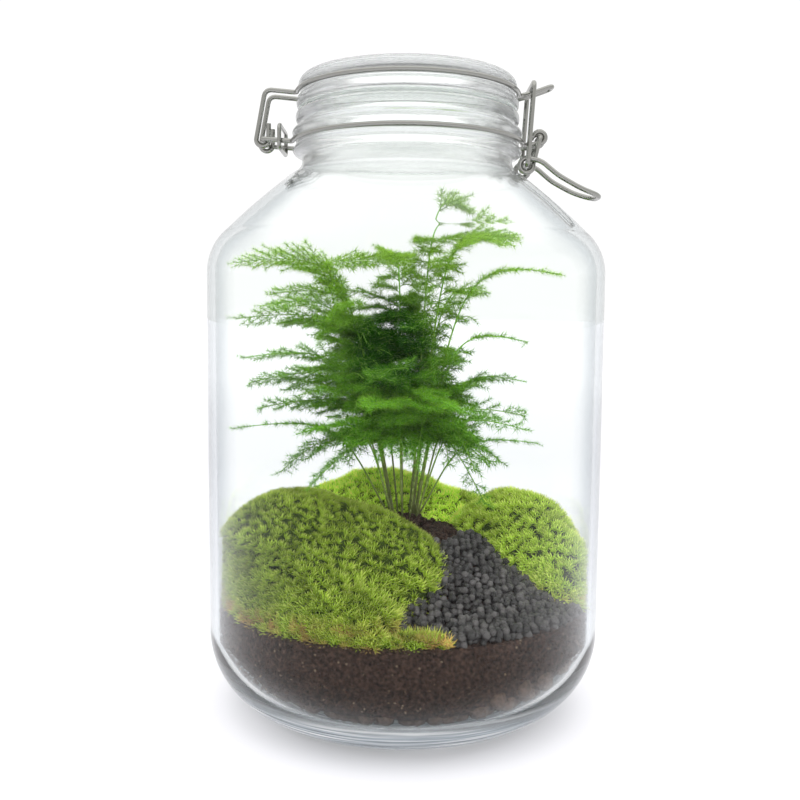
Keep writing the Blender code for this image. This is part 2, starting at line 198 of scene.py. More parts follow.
def linear(code):
    """An sRGB hex colour in linear light."""
    parts = [int(code[i : i + 2], 16) / 255 for i in (1, 3, 5)]
    return tuple(c / 12.92 if c <= 0.04045 else ((c + 0.055) / 1.055) ** 2.4 for c in parts)


def length(name, description, default):
    """A length property, in metres."""
    return bpy.props.FloatProperty(
        name=name, description=description, default=default, min=0.0, unit="LENGTH"
    )


def colour(name, description, code):
    """A colour property with an sRGB hex default."""
    return bpy.props.FloatVectorProperty(
        name=name,
        description=description,
        default=linear(code),
        min=0.0,
        max=1.0,
        size=3,
        subtype="COLOR",
    )


class TerrariumSizes(bpy.types.PropertyGroup):
    """Sizes of the parts that a planter would change."""

    wire: length("Wire radius", "Radius of the neck and lid wires", 0.00105)
    lever_wire: length("Lever wire radius", "Radius of the lever and bail wires", 0.0011)
    clip_wire: length("Clip wire radius", "Radius of the neck ring's clip", 0.0009)
    tuft: length("Moss tuft", "Length of one moss leaf", 0.0029)
    tuft_gap: length("Moss spacing", "Distance between moss tufts", 0.0018)
    grain: length("Gravel grain", "Radius of one gravel grain", 0.0019)
    clay_ball: length("Clay ball", "Radius of one drainage ball", 0.0050)
    needle: length("Fern needle", "Length of one fern needle", 0.0040)
    twig_gap: length("Fern twig spacing", "Distance between twigs on a branch", 0.0020)
    branch_gap: length("Fern branch spacing", "Distance between branches on a frond", 0.0023)


class TerrariumColours(bpy.types.PropertyGroup):
    """Colours of the materials."""

    glass: colour("Glass", "Body tint of the jar and lid", "#FBFDFC")
    seal: colour("Seal", "Clear silicone of the gasket", "#F4F8F6")
    steel: colour("Steel", "Drawn steel wire", "#979792")
    humus: colour("Humus", "Moist planting soil", "#412F28")
    humus_light: colour("Dry humus", "Drier crumbs in the soil", "#624B42")
    grit: colour("Grit", "Pale specks in the soil", "#8A7562")
    clay: colour("Clay", "Fired clay drainage balls", "#5F4C42")
    gravel: colour("Gravel", "Tumbled basalt", "#3F3C3C")
    # The moss shade colour is painted shade: it darkens the bases of the moss leaves and the felt between
    # the tufts
    moss_shade: colour("Moss shade", "Moss between its tufts", "#38480F")
    moss: colour("Moss", "Moss leaves", "#96B434")
    moss_tip: colour("Moss tip", "New moss growth", "#ECF084")
    moss_old: colour("Old moss", "Moss browned against the glass", "#B08A54")
    # The fern shade colour is painted at the base of each needle brush: partly older needles, partly
    # painted shade among them
    fern_shade: colour("Fern shade", "Oldest needles", "#2F7C05")
    fern: colour("Fern", "Grown needles", "#78B82A")
    fern_tip: colour("Fern tip", "Newest needles", "#BDDC62")
    fern_new: colour("Fern growth", "Needles still opening at the top", "#BFDB58")
    stem: colour("Stem", "Green stem skin", "#8C9A50")
    floor: colour("Floor", "White acrylic table", "#9D9CA1")


def sizes():
    """The size properties of this scene."""
    return bpy.context.scene.terrarium_sizes


def colours():
    """The colour properties of this scene."""
    return bpy.context.scene.terrarium_colours


# Materials


def node(tree, kind, inputs=None, **settings):
    """Adds one shader node with its settings, values and links."""
    made = tree.nodes.new(kind)
    for name, value in settings.items():
        setattr(made, name, value)
    for name, value in (inputs or {}).items():
        if isinstance(value, bpy.types.NodeSocket):
            tree.links.new(value, made.inputs[name])
        else:
            made.inputs[name].default_value = value
    return made


def ramp(tree, factor, stops):
    """A colour ramp through (position, colour) stops."""
    made = node(tree, "ShaderNodeValToRGB", {"Fac": factor})
    band = made.color_ramp
    while len(band.elements) < len(stops):
        band.elements.new(0.5)
    for element, (position, tone) in zip(band.elements, stops):
        element.position = position
        element.color = (*tone, 1.0)
    return made.outputs["Color"]


def surface(name, roughness, tone=None, **more):
    """A new material, its tree and its Principled shader."""
    made = bpy.data.materials.new(name)
    made.use_nodes = True
    shader = made.node_tree.nodes["Principled BSDF"]
    shader.inputs["Roughness"].default_value = roughness
    if tone is not None:
        shader.inputs["Base Color"].default_value = (*tone, 1.0)
    for socket, value in more.items():
        shader.inputs[socket.replace("_", " ")].default_value = value
    return made, made.node_tree, shader


def place(tree):
    """The piece's own coordinates, in metres."""
    return node(tree, "ShaderNodeTexCoord").outputs["Object"]


def spread(tree, value, low, high, start=0.0, end=1.0):
    """Maps a value between low and high to one between start and end."""
    inputs = {"Value": value, "From Min": low, "From Max": high, "To Min": start, "To Max": end}
    return node(tree, "ShaderNodeMapRange", inputs).outputs["Result"]


def maths(tree, operation, first, second):
    """Arithmetic on two values."""
    return node(tree, "ShaderNodeMath", {0: first, 1: second}, operation=operation).outputs[0]


def blend(tree, factor, first, second, how="MIX"):
    """Mixes two colours."""
    inputs = {"Factor": factor, "A": first, "B": second}
    return node(tree, "ShaderNodeMix", inputs, data_type="RGBA", blend_type=how).outputs["Result"]


def grain_of(tree, size_mm, detail=2.0, roughness=0.5):
    """Noise whose features are about this many millimetres across."""
    settings = {"Scale": 1000.0 / size_mm, "Detail": detail, "Roughness": roughness}
    return node(tree, "ShaderNodeTexNoise", {"Vector": place(tree), **settings}).outputs["Fac"]


def roughen(tree, shader, height, depth_mm, strength=1.0):
    """Bumps the surface by a height between 0 and 1 over this many millimetres."""
    values = {"Height": height, "Distance": depth_mm * MM, "Strength": strength}
    bump = node(tree, "ShaderNodeBump", values)
    tree.links.new(bump.outputs["Normal"], shader.inputs["Normal"])


def soda_lime_glass():
    """Soda-lime glass, blown and fire-polished: clear, mirror-smooth at its edges and faintly rippled."""
    body = colours().glass
    made, tree, shader = surface("soda_lime_glass", 0.0, body, Transmission_Weight=1.0, IOR=1.5)
    # Its reflections are painted dim, as dark flags in front of a jar would leave them, so that its face
    # scarcely mirrors the room
    shader.inputs["Specular Tint"].default_value = (0.08, 0.08, 0.08, 1.0)
    height = node(tree, "ShaderNodeSeparateXYZ", {"Vector": place(tree)}).outputs["Z"]
    foot = spread(tree, height, 0.014, 0.021, 1.0, 0.0)
    # The pressed neck and lid are less smooth than the blown wall
    upper = spread(tree, height, 0.228, 0.24)
    tree.links.new(maths(tree, "MULTIPLY", upper, 0.2), shader.inputs["Roughness"])
    # Painted shade: seen edge-on, the wall is painted grey, for the dark edges that clear glass shows; the
    # neck and lid are painted near-white there
    facing = node(tree, "ShaderNodeLayerWeight", {"Blend": 0.5}).outputs["Facing"]
    wall = ramp(tree, facing, [(0.55, body), (0.78, linear("#B8C0C4")), (1.0, linear("#7C858A"))])
    neck = ramp(tree, facing, [(0.6, body), (0.95, linear("#FDFEFE")), (1.0, linear("#F4F6F7"))])
    # The thick foot is clouded by the rings that its mould left, about 1 mm apart; its pale clouding is
    # also painted light, for the light that the thick glass carries down into it
    flattened = {"Vector": place(tree), "Scale": (14.0, 14.0, 620.0)}
    rings = node(tree, "ShaderNodeMapping", flattened).outputs["Vector"]
    inputs = {"Vector": rings, "Scale": 1.0, "Detail": 3.0}
    streaks = node(tree, "ShaderNodeTexNoise", inputs).outputs["Fac"]
    cloud_and_painted_light = ramp(tree, streaks, [(0.35, (0.35,) * 3), (0.65, (0.85,) * 3)])
    clearness = maths(tree, "SUBTRACT", 1.0, maths(tree, "MULTIPLY", foot, cloud_and_painted_light))
    stops = [(0.35, linear("#757F87")), (0.5, linear("#B3BCC2")), (0.65, (0.9,) * 3)]
    tone = blend(tree, foot, blend(tree, upper, wall, neck), ramp(tree, streaks, stops))
    tree.links.new(tone, shader.inputs["Base Color"])
    tree.links.new(clearness, shader.inputs["Transmission Weight"])
    roughen(tree, shader, grain_of(tree, 26.0, 1.0), 0.05, 0.5)
    clear = node(tree, "ShaderNodeBsdfTransparent", {"Color": (*body, 1.0)})
    path = node(tree, "ShaderNodeLightPath")
    inputs = {0: path.outputs["Is Shadow Ray"], 1: shader.outputs[0], 2: clear.outputs[0]}
    mixed = node(tree, "ShaderNodeMixShader", inputs)
    tree.links.new(mixed.outputs[0], tree.nodes["Material Output"].inputs["Surface"])
    return made


def clear_silicone():
    """Moulded clear silicone: milky where it is thick, satin where it is pressed."""
    milky = {"Transmission_Weight": 0.9, "IOR": 1.41}
    made, tree, shader = surface("clear_silicone", 0.35, colours().seal, **milky)
    roughen(tree, shader, grain_of(tree, 1.5), 0.05, 0.4)
    return made


def drawn_steel():
    """Zinc-plated steel wire, drawn through a die: grey, with fine scratches that spread its highlights."""
    made, tree, shader = surface("drawn_steel_wire", 0.3, colours().steel, Metallic=1.0)
    scuffs = grain_of(tree, 0.8, 4.0)
    tree.links.new(spread(tree, scuffs, 0.0, 1.0, 0.1, 0.28), shader.inputs["Roughness"])
    roughen(tree, shader, scuffs, 0.04, 0.4)
    return made


def humus(name="humus"):
    """Moist peat and leaf mould: dark brown crumbs of about 2 mm with paler fibre and grit."""
    made, tree, shader = surface(name, 0.95)
    palette = colours()
    crumbs = grain_of(tree, 1.5, 8.0, 0.75)
    stops = [(0.38, (0.01, 0.007, 0.005)), (0.5, palette.humus), (0.63, palette.humus_light)]
    base = ramp(tree, crumbs, stops)
    inputs = {"Vector": place(tree), "Scale": 1000.0 / 3.2}
    cells = node(tree, "ShaderNodeTexVoronoi", inputs).outputs["Distance"]
    sparse = ramp(tree, grain_of(tree, 7.0, 1.0), [(0.52, (0, 0, 0)), (0.6, (1, 1, 1))])
    amount = maths(tree, "MULTIPLY", spread(tree, cells, 0.12, 0.2, 1.0, 0.0), sparse)
    speckled = blend(tree, amount, base, (*palette.grit, 1.0))
    tree.links.new(speckled, shader.inputs["Base Color"])
    roughen(tree, shader, crumbs, 1.8)
    return made


def fired_clay():
    """Kiln-puffed clay balls: red-brown, dusty and pitted."""
    made, tree, shader = surface("fired_clay", 0.9)
    pits = grain_of(tree, 1.6, 4.0)
    dark = tuple(c * 0.45 for c in colours().clay)
    baked = ramp(tree, pits, [(0.35, dark), (0.62, colours().clay)])
    tree.links.new(baked, shader.inputs["Base Color"])
    roughen(tree, shader, pits, 0.5)
    return made


def tint(tree, channel):
    """One channel of the tint attribute: Red is the shade, which for moss and fern needles is partly
    painted light and shade, Green runs from base to tip, Blue is age.
    """
    held = node(tree, "ShaderNodeAttribute", attribute_name="tint")
    return node(tree, "ShaderNodeSeparateColor", {"Color": held.outputs["Color"]}).outputs[channel]


def tumbled_basalt():
    """Tumbled basalt grit: charcoal grains, slightly polished, each a different grey."""
    made, tree, shader = surface("tumbled_basalt", 0.5)
    base = colours().gravel
    dark = tuple(c * 0.4 for c in base)
    pale = tuple(min(1.0, c * 2.2) for c in base)
    shade = ramp(tree, tint(tree, "Red"), [(0.0, dark), (0.6, base), (1.0, pale)])
    tree.links.new(shade, shader.inputs["Base Color"])
    roughen(tree, shader, grain_of(tree, 0.7, 3.0), 0.12, 0.6)
    return made


def leaf_surface(name, shade, middle, tip, old, roughness, darkest, brightest):
    """A leaf that pales from base to tip, its base darker as painted shade, and browns with age, each tuft
    a little different.
    """
    made, tree, shader = surface(name, roughness, Specular_IOR_Level=0.2)
    along = ramp(tree, tint(tree, "Green"), [(0.0, shade), (0.45, middle), (1.0, tip)])
    aged = blend(tree, tint(tree, "Blue"), along, (*old, 1.0))
    # Painted light and shade: each copy's shade scales its colour between a darkest and a brightest tone
    tone = blend(tree, tint(tree, "Red"), (*darkest, 1.0), (*brightest, 1.0))
    tree.links.new(blend(tree, 1.0, aged, tone, "MULTIPLY"), shader.inputs["Base Color"])
    return made


def moss_leaves():
    """Star moss: matt leaves, painted dark where they are packed, which is painted shade, and yellow-green
    at the tips.
    """
    palette = colours()
    tones = (palette.moss_shade, palette.moss, palette.moss_tip, palette.moss_old)
    # The brightest tone lifts tufts up to 2.6 times their colour: painted light for those that stand in
    # shade
    return leaf_surface("star_moss", *tones, 0.75, (0.5,) * 3, (2.6,) * 3)


def moss_turf():
    """The felt under moss leaves: near-black green that shows only between tufts, painted shade for the
    dark depth of the moss.
    """
    made, tree, shader = surface("moss_turf", 0.95)
    base = colours().moss_shade
    dark = tuple(c * 0.35 for c in base)
    patches = grain_of(tree, 3.0, 4.0)
    tree.links.new(ramp(tree, patches, [(0.3, dark), (0.7, base)]), shader.inputs["Base Color"])
    roughen(tree, shader, patches, 1.0)
    return made


def fern_needles():
    """Asparagus fern needles: thin, slightly waxy, brightest on the newest tips."""
    palette = colours()
    tones = (palette.fern_shade, palette.fern, palette.fern_tip, palette.fern_new)
    # The darkest tone, a deep green, is painted shade in the fern's heart
    return leaf_surface("asparagus_needles", *tones, 0.55, (0.06, 0.2, 0.0), (1.7,) * 3)


def fern_stem():
    """Asparagus fern stem: a smooth green-straw skin that browns towards the crown."""
    made, tree, shader = surface("asparagus_stem", 0.5)
    brown = tuple(c * 0.3 for c in colours().humus_light)
    skin = ramp(tree, tint(tree, "Red"), [(0.0, brown), (0.25, colours().stem), (1.0, colours().fern)])
    tree.links.new(skin, shader.inputs["Base Color"])
    roughen(tree, shader, grain_of(tree, 1.2), 0.1, 0.4)
    return made


def painted_glow_floor():
    """Frosted white acrylic for the table, with painted light: it glows a little though no lamp is in it,
    so shadows on it stay pale, and glows least under the jar, a painted contact shadow.
    """
    made, tree, shader = surface("painted_glow_floor", 0.8, colours().floor)
    shader.inputs["Emission Color"].default_value = (1.0, 1.0, 1.0, 1.0)
    # Painted glow: strongest far away, where the softboxes don't reach, and weakest under the jar, a
    # painted contact shadow
    away = node(tree, "ShaderNodeVectorMath", {0: place(tree)}, operation="LENGTH").outputs["Value"]
    levels = ((0.02, 0.26), (0.027, 0.48), (0.037, 0.62), (0.11, 0.45), (0.25, 0.4), (0.8, 0.64))
    stops = [(position, (level,) * 3) for position, level in levels]
    painted_glow = ramp(tree, maths(tree, "DIVIDE", away, 3.0), stops)
    tree.links.new(painted_glow, shader.inputs["Emission Strength"])
    roughen(tree, shader, grain_of(tree, 3.0), 0.02, 0.1)
    return made


# Shapes


def linked(name, data):
    """A new object in the scene."""
    thing = bpy.data.objects.new(name, data)
    bpy.context.collection.objects.link(thing)
    return thing


def clamp(value, high=1.0):
    """A value held between 0 and a limit."""
    return min(high, max(0.0, value))


def polar(radius, angle, z=0.0):
    """A point at one distance from the jar's axis, at an angle in radians."""
    return Vector((radius * math.cos(angle), radius * math.sin(angle), z))


def finish(name, bm, *materials, scale=MM):
    """Links a bmesh as a smooth object at the origin."""
    bmesh.ops.scale(bm, vec=(scale, scale, scale), verts=bm.verts)
    mesh = bpy.data.meshes.new(name)
    bm.to_mesh(mesh)
    bm.free()
    for made in materials:
        mesh.materials.append(made)
    mesh.shade_smooth()
    return linked(name, mesh)


def arc(centre_r, centre_z, radius, start, end, steps):
    """Points on a profile's arc, in degrees from the outward direction."""
    angles = np.radians(np.linspace(start, end, steps + 1))
    return [(centre_r + radius * math.cos(a), centre_z + radius * math.sin(a)) for a in angles]


def eased(points, times=2):
    """Cuts a profile's corners, so that it flows as fire-polished glass does."""
    for _ in range(times):
        cut = [points[0]]
        for (r0, z0), (r1, z1) in zip(points, points[1:]):
            cut.append((0.75 * r0 + 0.25 * r1, 0.75 * z0 + 0.25 * z1))
            cut.append((0.25 * r0 + 0.75 * r1, 0.25 * z0 + 0.75 * z1))
        points = cut + [points[-1]]
    return points


def turned(name, profile, material, steps=GLASS_STEPS, closed=False):
    """Spins a (radius, height) profile about the jar's axis."""
    bm = bmesh.new()
    verts = [bm.verts.new((r, 0.0, z)) for r, z in profile]
    pairs = list(zip(verts, verts[1:]))
    if closed:
        pairs.append((verts[-1], verts[0]))
    edges = [bm.edges.new(pair) for pair in pairs]
    bmesh.ops.spin(
        bm,
        geom=verts + edges,
        axis=(0, 0, 1),
        cent=(0, 0, 0),
        angle=math.tau,
        steps=steps,
        use_merge=True,
    )
    bmesh.ops.remove_doubles(bm, verts=bm.verts, dist=0.001)
    bmesh.ops.recalc_face_normals(bm, faces=bm.faces)
    return finish(name, bm, material)


def wire_path(stations, steps=8):
    """Turns (point, bend) stations into points: a bend above 0 rounds that corner over that length."""
    points = []
    for i, (where, bend) in enumerate(stations):
        at = Vector(where)
        if not bend:
            points.append(at)
            continue
        before = Vector(stations[i - 1][0])
        after = Vector(stations[(i + 1) % len(stations)][0])
        start = at + (before - at).normalized() * bend
        end = at + (after - at).normalized() * bend
        for k in range(steps + 1):
            t = k / steps
            points.append(start.lerp(at, t).lerp(at.lerp(end, t), t))
    return points


def wire(name, points, radius, material, closed=False):
    """A round wire along points given in millimetres, its radius in metres."""
    curve = bpy.data.curves.new(name, "CURVE")
    curve.dimensions = "3D"
    curve.bevel_depth = radius
    curve.bevel_resolution = 5
    curve.use_fill_caps = not closed
    spline = curve.splines.new("POLY")
    spline.points.add(len(points) - 1)
    for knot, point in zip(spline.points, points):
        knot.co = (*(point * MM), 1.0)
    spline.use_cyclic_u = closed
    spline.use_smooth = True
    curve.materials.append(material)
    return linked(name, curve)


def mirrored(half):
    """A whole wire from its front half: the half, then its mirror image walked back."""
    back = [((x, -y, z), bend) for (x, y, z), bend in reversed(half)]
    return half + back


def side_turn(centre, radius, start_y, end_y, start, end, steps):
    """Stations on a turn about a cross axis, from one Y to another."""
    stations = []
    for i in range(steps + 1):
        share = i / steps
        angle = math.radians(start + (end - start) * share)
        x = centre[0] + radius * math.cos(angle)
        z = centre[1] + radius * math.sin(angle)
        stations.append(((x, start_y + (end_y - start_y) * share, z), 0.0))
    return stations


def ring_turn(radius, z, start, end, steps):
    """Stations round the neck at one height."""
    angles = np.radians(np.linspace(start, end, steps + 1))
    return [((radius * math.cos(a), radius * math.sin(a), z), 0.0) for a in angles]


def pivot(joint):
    """A joint's (x, z), in millimetres."""
    x, _, z = JOINTS[joint]["pos_m"]
    return x / MM, z / MM


def pattern(bm):
    """A small shape's points and triangles, for copying. Empties the bmesh."""
    bmesh.ops.triangulate(bm, faces=bm.faces)
    bm.verts.index_update()
    points = np.array([v.co[:] for v in bm.verts])
    triangles = np.array([[v.index for v in face.verts] for face in bm.faces])
    bm.free()
    return points, triangles


def cone(bm, sides, base, tip, reach, turn):
    """A capped cone that leaves the origin along +Z, then is turned."""
    placed = turn @ Matrix.Translation((0, 0, reach / 2))
    shape = {"segments": sides, "radius1": base, "radius2": tip, "depth": reach}
    bmesh.ops.create_cone(bm, cap_ends=True, matrix=placed, **shape)


def leaves(layout, width):
    """Pointed leaves that leave one spot: each has a tilt and a spin in degrees, and a length."""
    bm = bmesh.new()
    for tilt, spin, size in layout:
        turn = Matrix.Rotation(math.radians(spin), 4, "Z")
        cone(bm, 3, width, 0.0, size, turn @ Matrix.Rotation(math.radians(tilt), 4, "Y"))
    return pattern(bm)


def stick(sides):
    """A unit rod along +Z."""
    bm = bmesh.new()
    cone(bm, sides, 1.0, 1.0, 1.0, Matrix.Identity(4))
    return pattern(bm)


def stone(seed, lumps, around=7, rings=5):
    """A rounded lump about one unit in radius."""
    bm = bmesh.new()
    bmesh.ops.create_uvsphere(bm, u_segments=around, v_segments=rings, radius=1.0)
    for vert in bm.verts:
        vert.co *= 1.0 + lumps * noise.noise(vert.co * 1.3 + Vector((seed * 7.1, 0, 0)))
    return pattern(bm)


def aimed(origin, direction, size, width, spin=0.0):
    """Places a unit shape along a direction."""
    turn = direction.to_track_quat("Z", "Y").to_matrix().to_4x4()
    scale = Matrix.Diagonal((width, width, size, 1.0))
    return Matrix.Translation(origin) @ turn @ Matrix.Rotation(spin, 4, "Z") @ scale


def tossed(at, size, rng):
    """Places one lump with a random turn."""
    turn = Vector(rng.uniform(-1, 1, 3)).normalized()
    return aimed(at, turn, size * rng.uniform(0.8, 1.0), size, rng.uniform(0, math.tau))


def scattered(xs, ys, jitter, rng):
    """The points of a grid, each moved a little."""
    for x in xs:
        for y in ys:
            yield x + rng.uniform(-jitter, jitter), y + rng.uniform(-jitter, jitter)


def gathered(name, groups, materials):
    """Joins copied shapes into one object.

    Each group is (points and triangles, copies, material index), each copy (matrix, shade) or
    (matrix, (shade, age)). The tint attribute holds the copy's shade, the point's height up its
    shape, and the copy's age.
    """
    all_points, all_faces, all_tints, all_slots = [], [], [], []
    count = 0
    for (points, triangles), copies, slot in groups:
        matrices, shades = zip(*copies)
        moves = np.array([np.array(m) for m in matrices])
        padded = np.concatenate([points, np.ones((len(points), 1))], axis=1)
        moved = np.einsum("nij,kj->nki", moves, padded)[:, :, :3]
        starts = count + np.arange(len(moves))[:, None, None] * len(points)
        all_points.append(moved.reshape(-1, 3))
        all_faces.append((triangles[None] + starts).reshape(-1, 3))
        low, high = points[:, 2].min(), points[:, 2].max()
        rise = np.tile((points[:, 2] - low) / max(high - low, 1e-9), len(moves))
        held = np.array(shades, dtype=float).reshape(len(moves), -1)
        shade = np.repeat(held[:, 0], len(points))
        age = np.repeat(held[:, -1] if held.shape[1] > 1 else held[:, 0] * 0, len(points))
        all_tints.append(np.stack([shade, rise, age, rise * 0 + 1], axis=1))
        all_slots.append(np.full(len(triangles) * len(moves), slot))
        count += len(points) * len(moves)
    points = np.concatenate(all_points) * MM
    faces = np.concatenate(all_faces)
    mesh = bpy.data.meshes.new(name)
    mesh.vertices.add(len(points))
    mesh.vertices.foreach_set("co", points.astype(np.float32).ravel())
    mesh.loops.add(faces.size)
    mesh.loops.foreach_set("vertex_index", faces.astype(np.int32).ravel())
    mesh.polygons.add(len(faces))
    mesh.polygons.foreach_set("loop_start", np.arange(0, faces.size, 3, dtype=np.int32))
    mesh.polygons.foreach_set("material_index", np.concatenate(all_slots).astype(np.int32))
    mesh.update(calc_edges=True)
    held = mesh.attributes.new("tint", "FLOAT_COLOR", "POINT")
    held.data.foreach_set("color", np.concatenate(all_tints).astype(np.float32).ravel())
    for made in materials:
        mesh.materials.append(made)
    mesh.shade_smooth()
    return linked(name, mesh)


def soil_height(radius):
    """The soil's height at a distance from the axis."""
    share = clamp((radius - CROWN_SHELF) / (SOIL_RADIUS - CROWN_SHELF))
    return SOIL_EDGE_Z + SOIL_RISE * (0.5 + 0.5 * math.cos(math.pi * share))


def moss_depth(domes, x, y):
    """How deep the moss lies over the soil: domes that melt into each other."""
    total = 0.0
    for cx, cy, radius, top in domes:
        reach = 1.0 - ((x - cx) ** 2 + (y - cy) ** 2) / radius**2
        if reach > 0:
            total += ((top - MOSS_FLOOR_Z) * math.sqrt(reach)) ** 6
    lumps = 1.0 + 0.05 * noise.noise(Vector((x, y, 3.0)) / 12.0)
    return MOSS_FLOOR_Z + total ** (1 / 6) * lumps - soil_height(math.hypot(x, y))


def moss_slope(domes, x, y, step=0.6):
    """How steeply the moss rises over the soil along X and along Y."""
    along_x = moss_depth(domes, x + step, y) - moss_depth(domes, x - step, y)
    along_y = moss_depth(domes, x, y + step) - moss_depth(domes, x, y - step)
    return along_x / (2 * step), along_y / (2 * step)


def leaf_reach(z):
    """How far from the axis a leaf may stand at one height, inside the wall and shoulder."""
    return INNER_RADIUS - LEAF_GAP - max(0.0, z - CLOSING_Z) * CLOSING_SLOPE


def against_glass(z, inset):
    """How far from the axis something is that stands this deep behind the glass at one height."""
    reach = INNER_CORNER - inset
    drop = min(max(0.0, INNER_ARC_Z - z), reach)
    return INNER_ARC_RADIUS + math.sqrt(reach**2 - drop**2)


# Pieces


class TERRARIUM_OT_jar(bpy.types.Operator):
    """Blows the jar: foot ring, rounded base, straight wall, domed shoulder, beaded neck and rim"""

    bl_idname = "terrarium.jar"
    bl_label = "Glass jar"

    def execute(self, context):
        shoulder_r = BODY_RADIUS - SHOULDER_RADIUS
        run = (DOME_RADIUS - SHOULDER_RADIUS) * math.cos(math.radians(DOME_START))
        dome_r = shoulder_r - run
        dome_z = STRAIGHT_TOP - run
        corner = BODY_RADIUS - FOOT_OUTER
        foot = [(0.0, 2.4), (20.0, 2.3), (FOOT_INNER - 6.0, 1.9), (FOOT_INNER - 2.5, 1.2)]
        foot += [(FOOT_INNER - 0.6, 0.3), (FOOT_INNER + 1.0, 0.0)]
        outside = foot + arc(FOOT_OUTER, corner, corner, -90, 0, 24)
        outside += arc(shoulder_r, STRAIGHT_TOP, SHOULDER_RADIUS, 0, DOME_START, 14)
        outside += arc(dome_r, dome_z, DOME_RADIUS, DOME_START, DOME_END, 5)[1:]
        neck = [outside[-1], (49.1, 238.2), (47.0, 240.4), (46.5, 242.8), (46.5, 245.2)]
        neck += [(49.8, 246.0), (51.0, 247.6), (49.6, 249.3), (49.2, 250.2), (49.2, 251.8)]
        neck += [(50.0, 253.0), (51.0, 254.8), (50.4, 256.7), (47.2, 257.8), (47.2, 259.6)]
        neck += [(49.4, 260.3), (49.3, 263.4), (48.4, RIM_TOP), (MOUTH_RADIUS + 2, RIM_TOP)]
        neck += [(MOUTH_RADIUS, RIM_TOP - 0.4), (MOUTH_RADIUS, 258.0), (MOUTH_RADIUS, 246.0)]
        neck += [(MOUTH_RADIUS + 0.3, 242.0), (43.8, 238.2)]
        inside = arc(dome_r, dome_z, DOME_RADIUS - WALL, DOME_END, DOME_START, 5)
        neck += [inside[0]]
        inside += arc(shoulder_r, STRAIGHT_TOP, SHOULDER_RADIUS - WALL, DOME_START, 0, 14)[1:]
        inside += arc(INNER_ARC_RADIUS, INNER_ARC_Z, INNER_CORNER, 0, -90, 24)
        inside += [(0.0, INNER_FLOOR + 0.6)]
        profile = outside[:-1] + eased(neck) + inside[1:]
        jar = turned("glass_jar", profile, soda_lime_glass())
        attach(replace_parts(jar, "jar_body"), "jar")
        return {"FINISHED"}


class TERRARIUM_OT_lid(bpy.types.Operator):
    """Presses the lid: rounded top edge, wire groove, flange and locating plug"""

    bl_idname = "terrarium.lid"
    bl_label = "Glass lid"

    def execute(self, context):
        low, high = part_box("lid_glass")
        top = high.z / MM
        underside = RIM_TOP + 2.3
        bottom = low.z / MM
        profile = [(0.0, top), (30.0, top), (40.0, top)] + arc(44.2, top - 4.0, 4.0, 90, 0, 8)
        edge = [profile.pop(), (48.1, 274.6), (47.3, 273.7), (47.3, 271.1), (48.5, 270.3)]
        edge += [(49.0, 269.4), (49.0, underside + 0.6), (48.2, underside), (44.0, underside)]
        edge += [(39.4, underside), (38.2, underside - 1.0), (38.0, bottom + 1.4)]
        edge += [(37.4, bottom), (34.2, bottom), (32.2, bottom + 1.4), (31.4, 269.5)]
        edge += [(29.5, 272.4), (24.0, 273.2), (0.0, 273.4)]
        profile += eased(edge)
        lid = turned("glass_lid", profile, soda_lime_glass())
        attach(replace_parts(lid, "lid_glass"), "lid")
        return {"FINISHED"}


class TERRARIUM_OT_gasket(bpy.types.Operator):
    """Moulds the sealing ring between lid and rim"""

    bl_idname = "terrarium.gasket"
    bl_label = "Sealing ring"

    def execute(self, context):
        low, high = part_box("lid_gasket")
        outer = high.x / MM
        middle = (low.z + high.z) / 2 / MM
        half = (high.z - low.z) / 2 / MM
        rounded = arc(outer - half, middle, half, -90, 90, 8)
        profile = rounded + [(40.3, middle + half), (40.0, middle), (40.3, middle - half)]
        ring = turned("sealing_ring", profile, clear_silicone(), closed=True)
        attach(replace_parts(ring, "lid_gasket"), "lid")
        return {"FINISHED"}


class TERRARIUM_OT_neck_wire(bpy.types.Operator):
    """Bends the neck ring with its hinge bar and eyes, and the clip that ties its arms"""

    bl_idname = "terrarium.neck_wire"
    bl_label = "Neck wire"

    def execute(self, context):
        steel = drawn_steel()
        eye = pivot("lever_pivot")
        hinge = pivot("lid_hinge")
        half = side_turn(eye, 2.6, -EYE_Y, -EYE_Y, 175, -90, 24)
        half += [((NECK_RING_RADIUS - 0.2, -EYE_Y, NECK_RING_Z), 4.0)]
        half += ring_turn(NECK_RING_RADIUS, NECK_RING_Z, -10, -168, 80)
        half += [((-NECK_RING_RADIUS + 1.0, -NECK_HINGE_Y, NECK_RING_Z), 1.2)]
        half += [((hinge[0], -NECK_HINGE_Y, hinge[1]), 2.0)]
        ring = wire("neck_wire", wire_path(mirrored(half)), sizes().wire, steel)
        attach(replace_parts(ring, "neck_ring"), "jar")
        low, high = (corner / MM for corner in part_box("neck_ring_clip"))
        inset = sizes().clip_wire / MM
        x = (low.x + high.x) / 2
        sides = (low.y + inset, high.y - inset)
        ends = (low.z + inset, high.z - inset)
        corners = [(sides[0], ends[0]), (sides[1], ends[0]), (sides[1], ends[1]), (sides[0], ends[1])]
        path = wire_path([((x, y, z), 3.0) for y, z in corners])
        clip = wire("neck_wire_clip", path, sizes().clip_wire, steel, closed=True)
        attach(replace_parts(clip, "neck_ring_clip"), "jar")
        return {"FINISHED"}


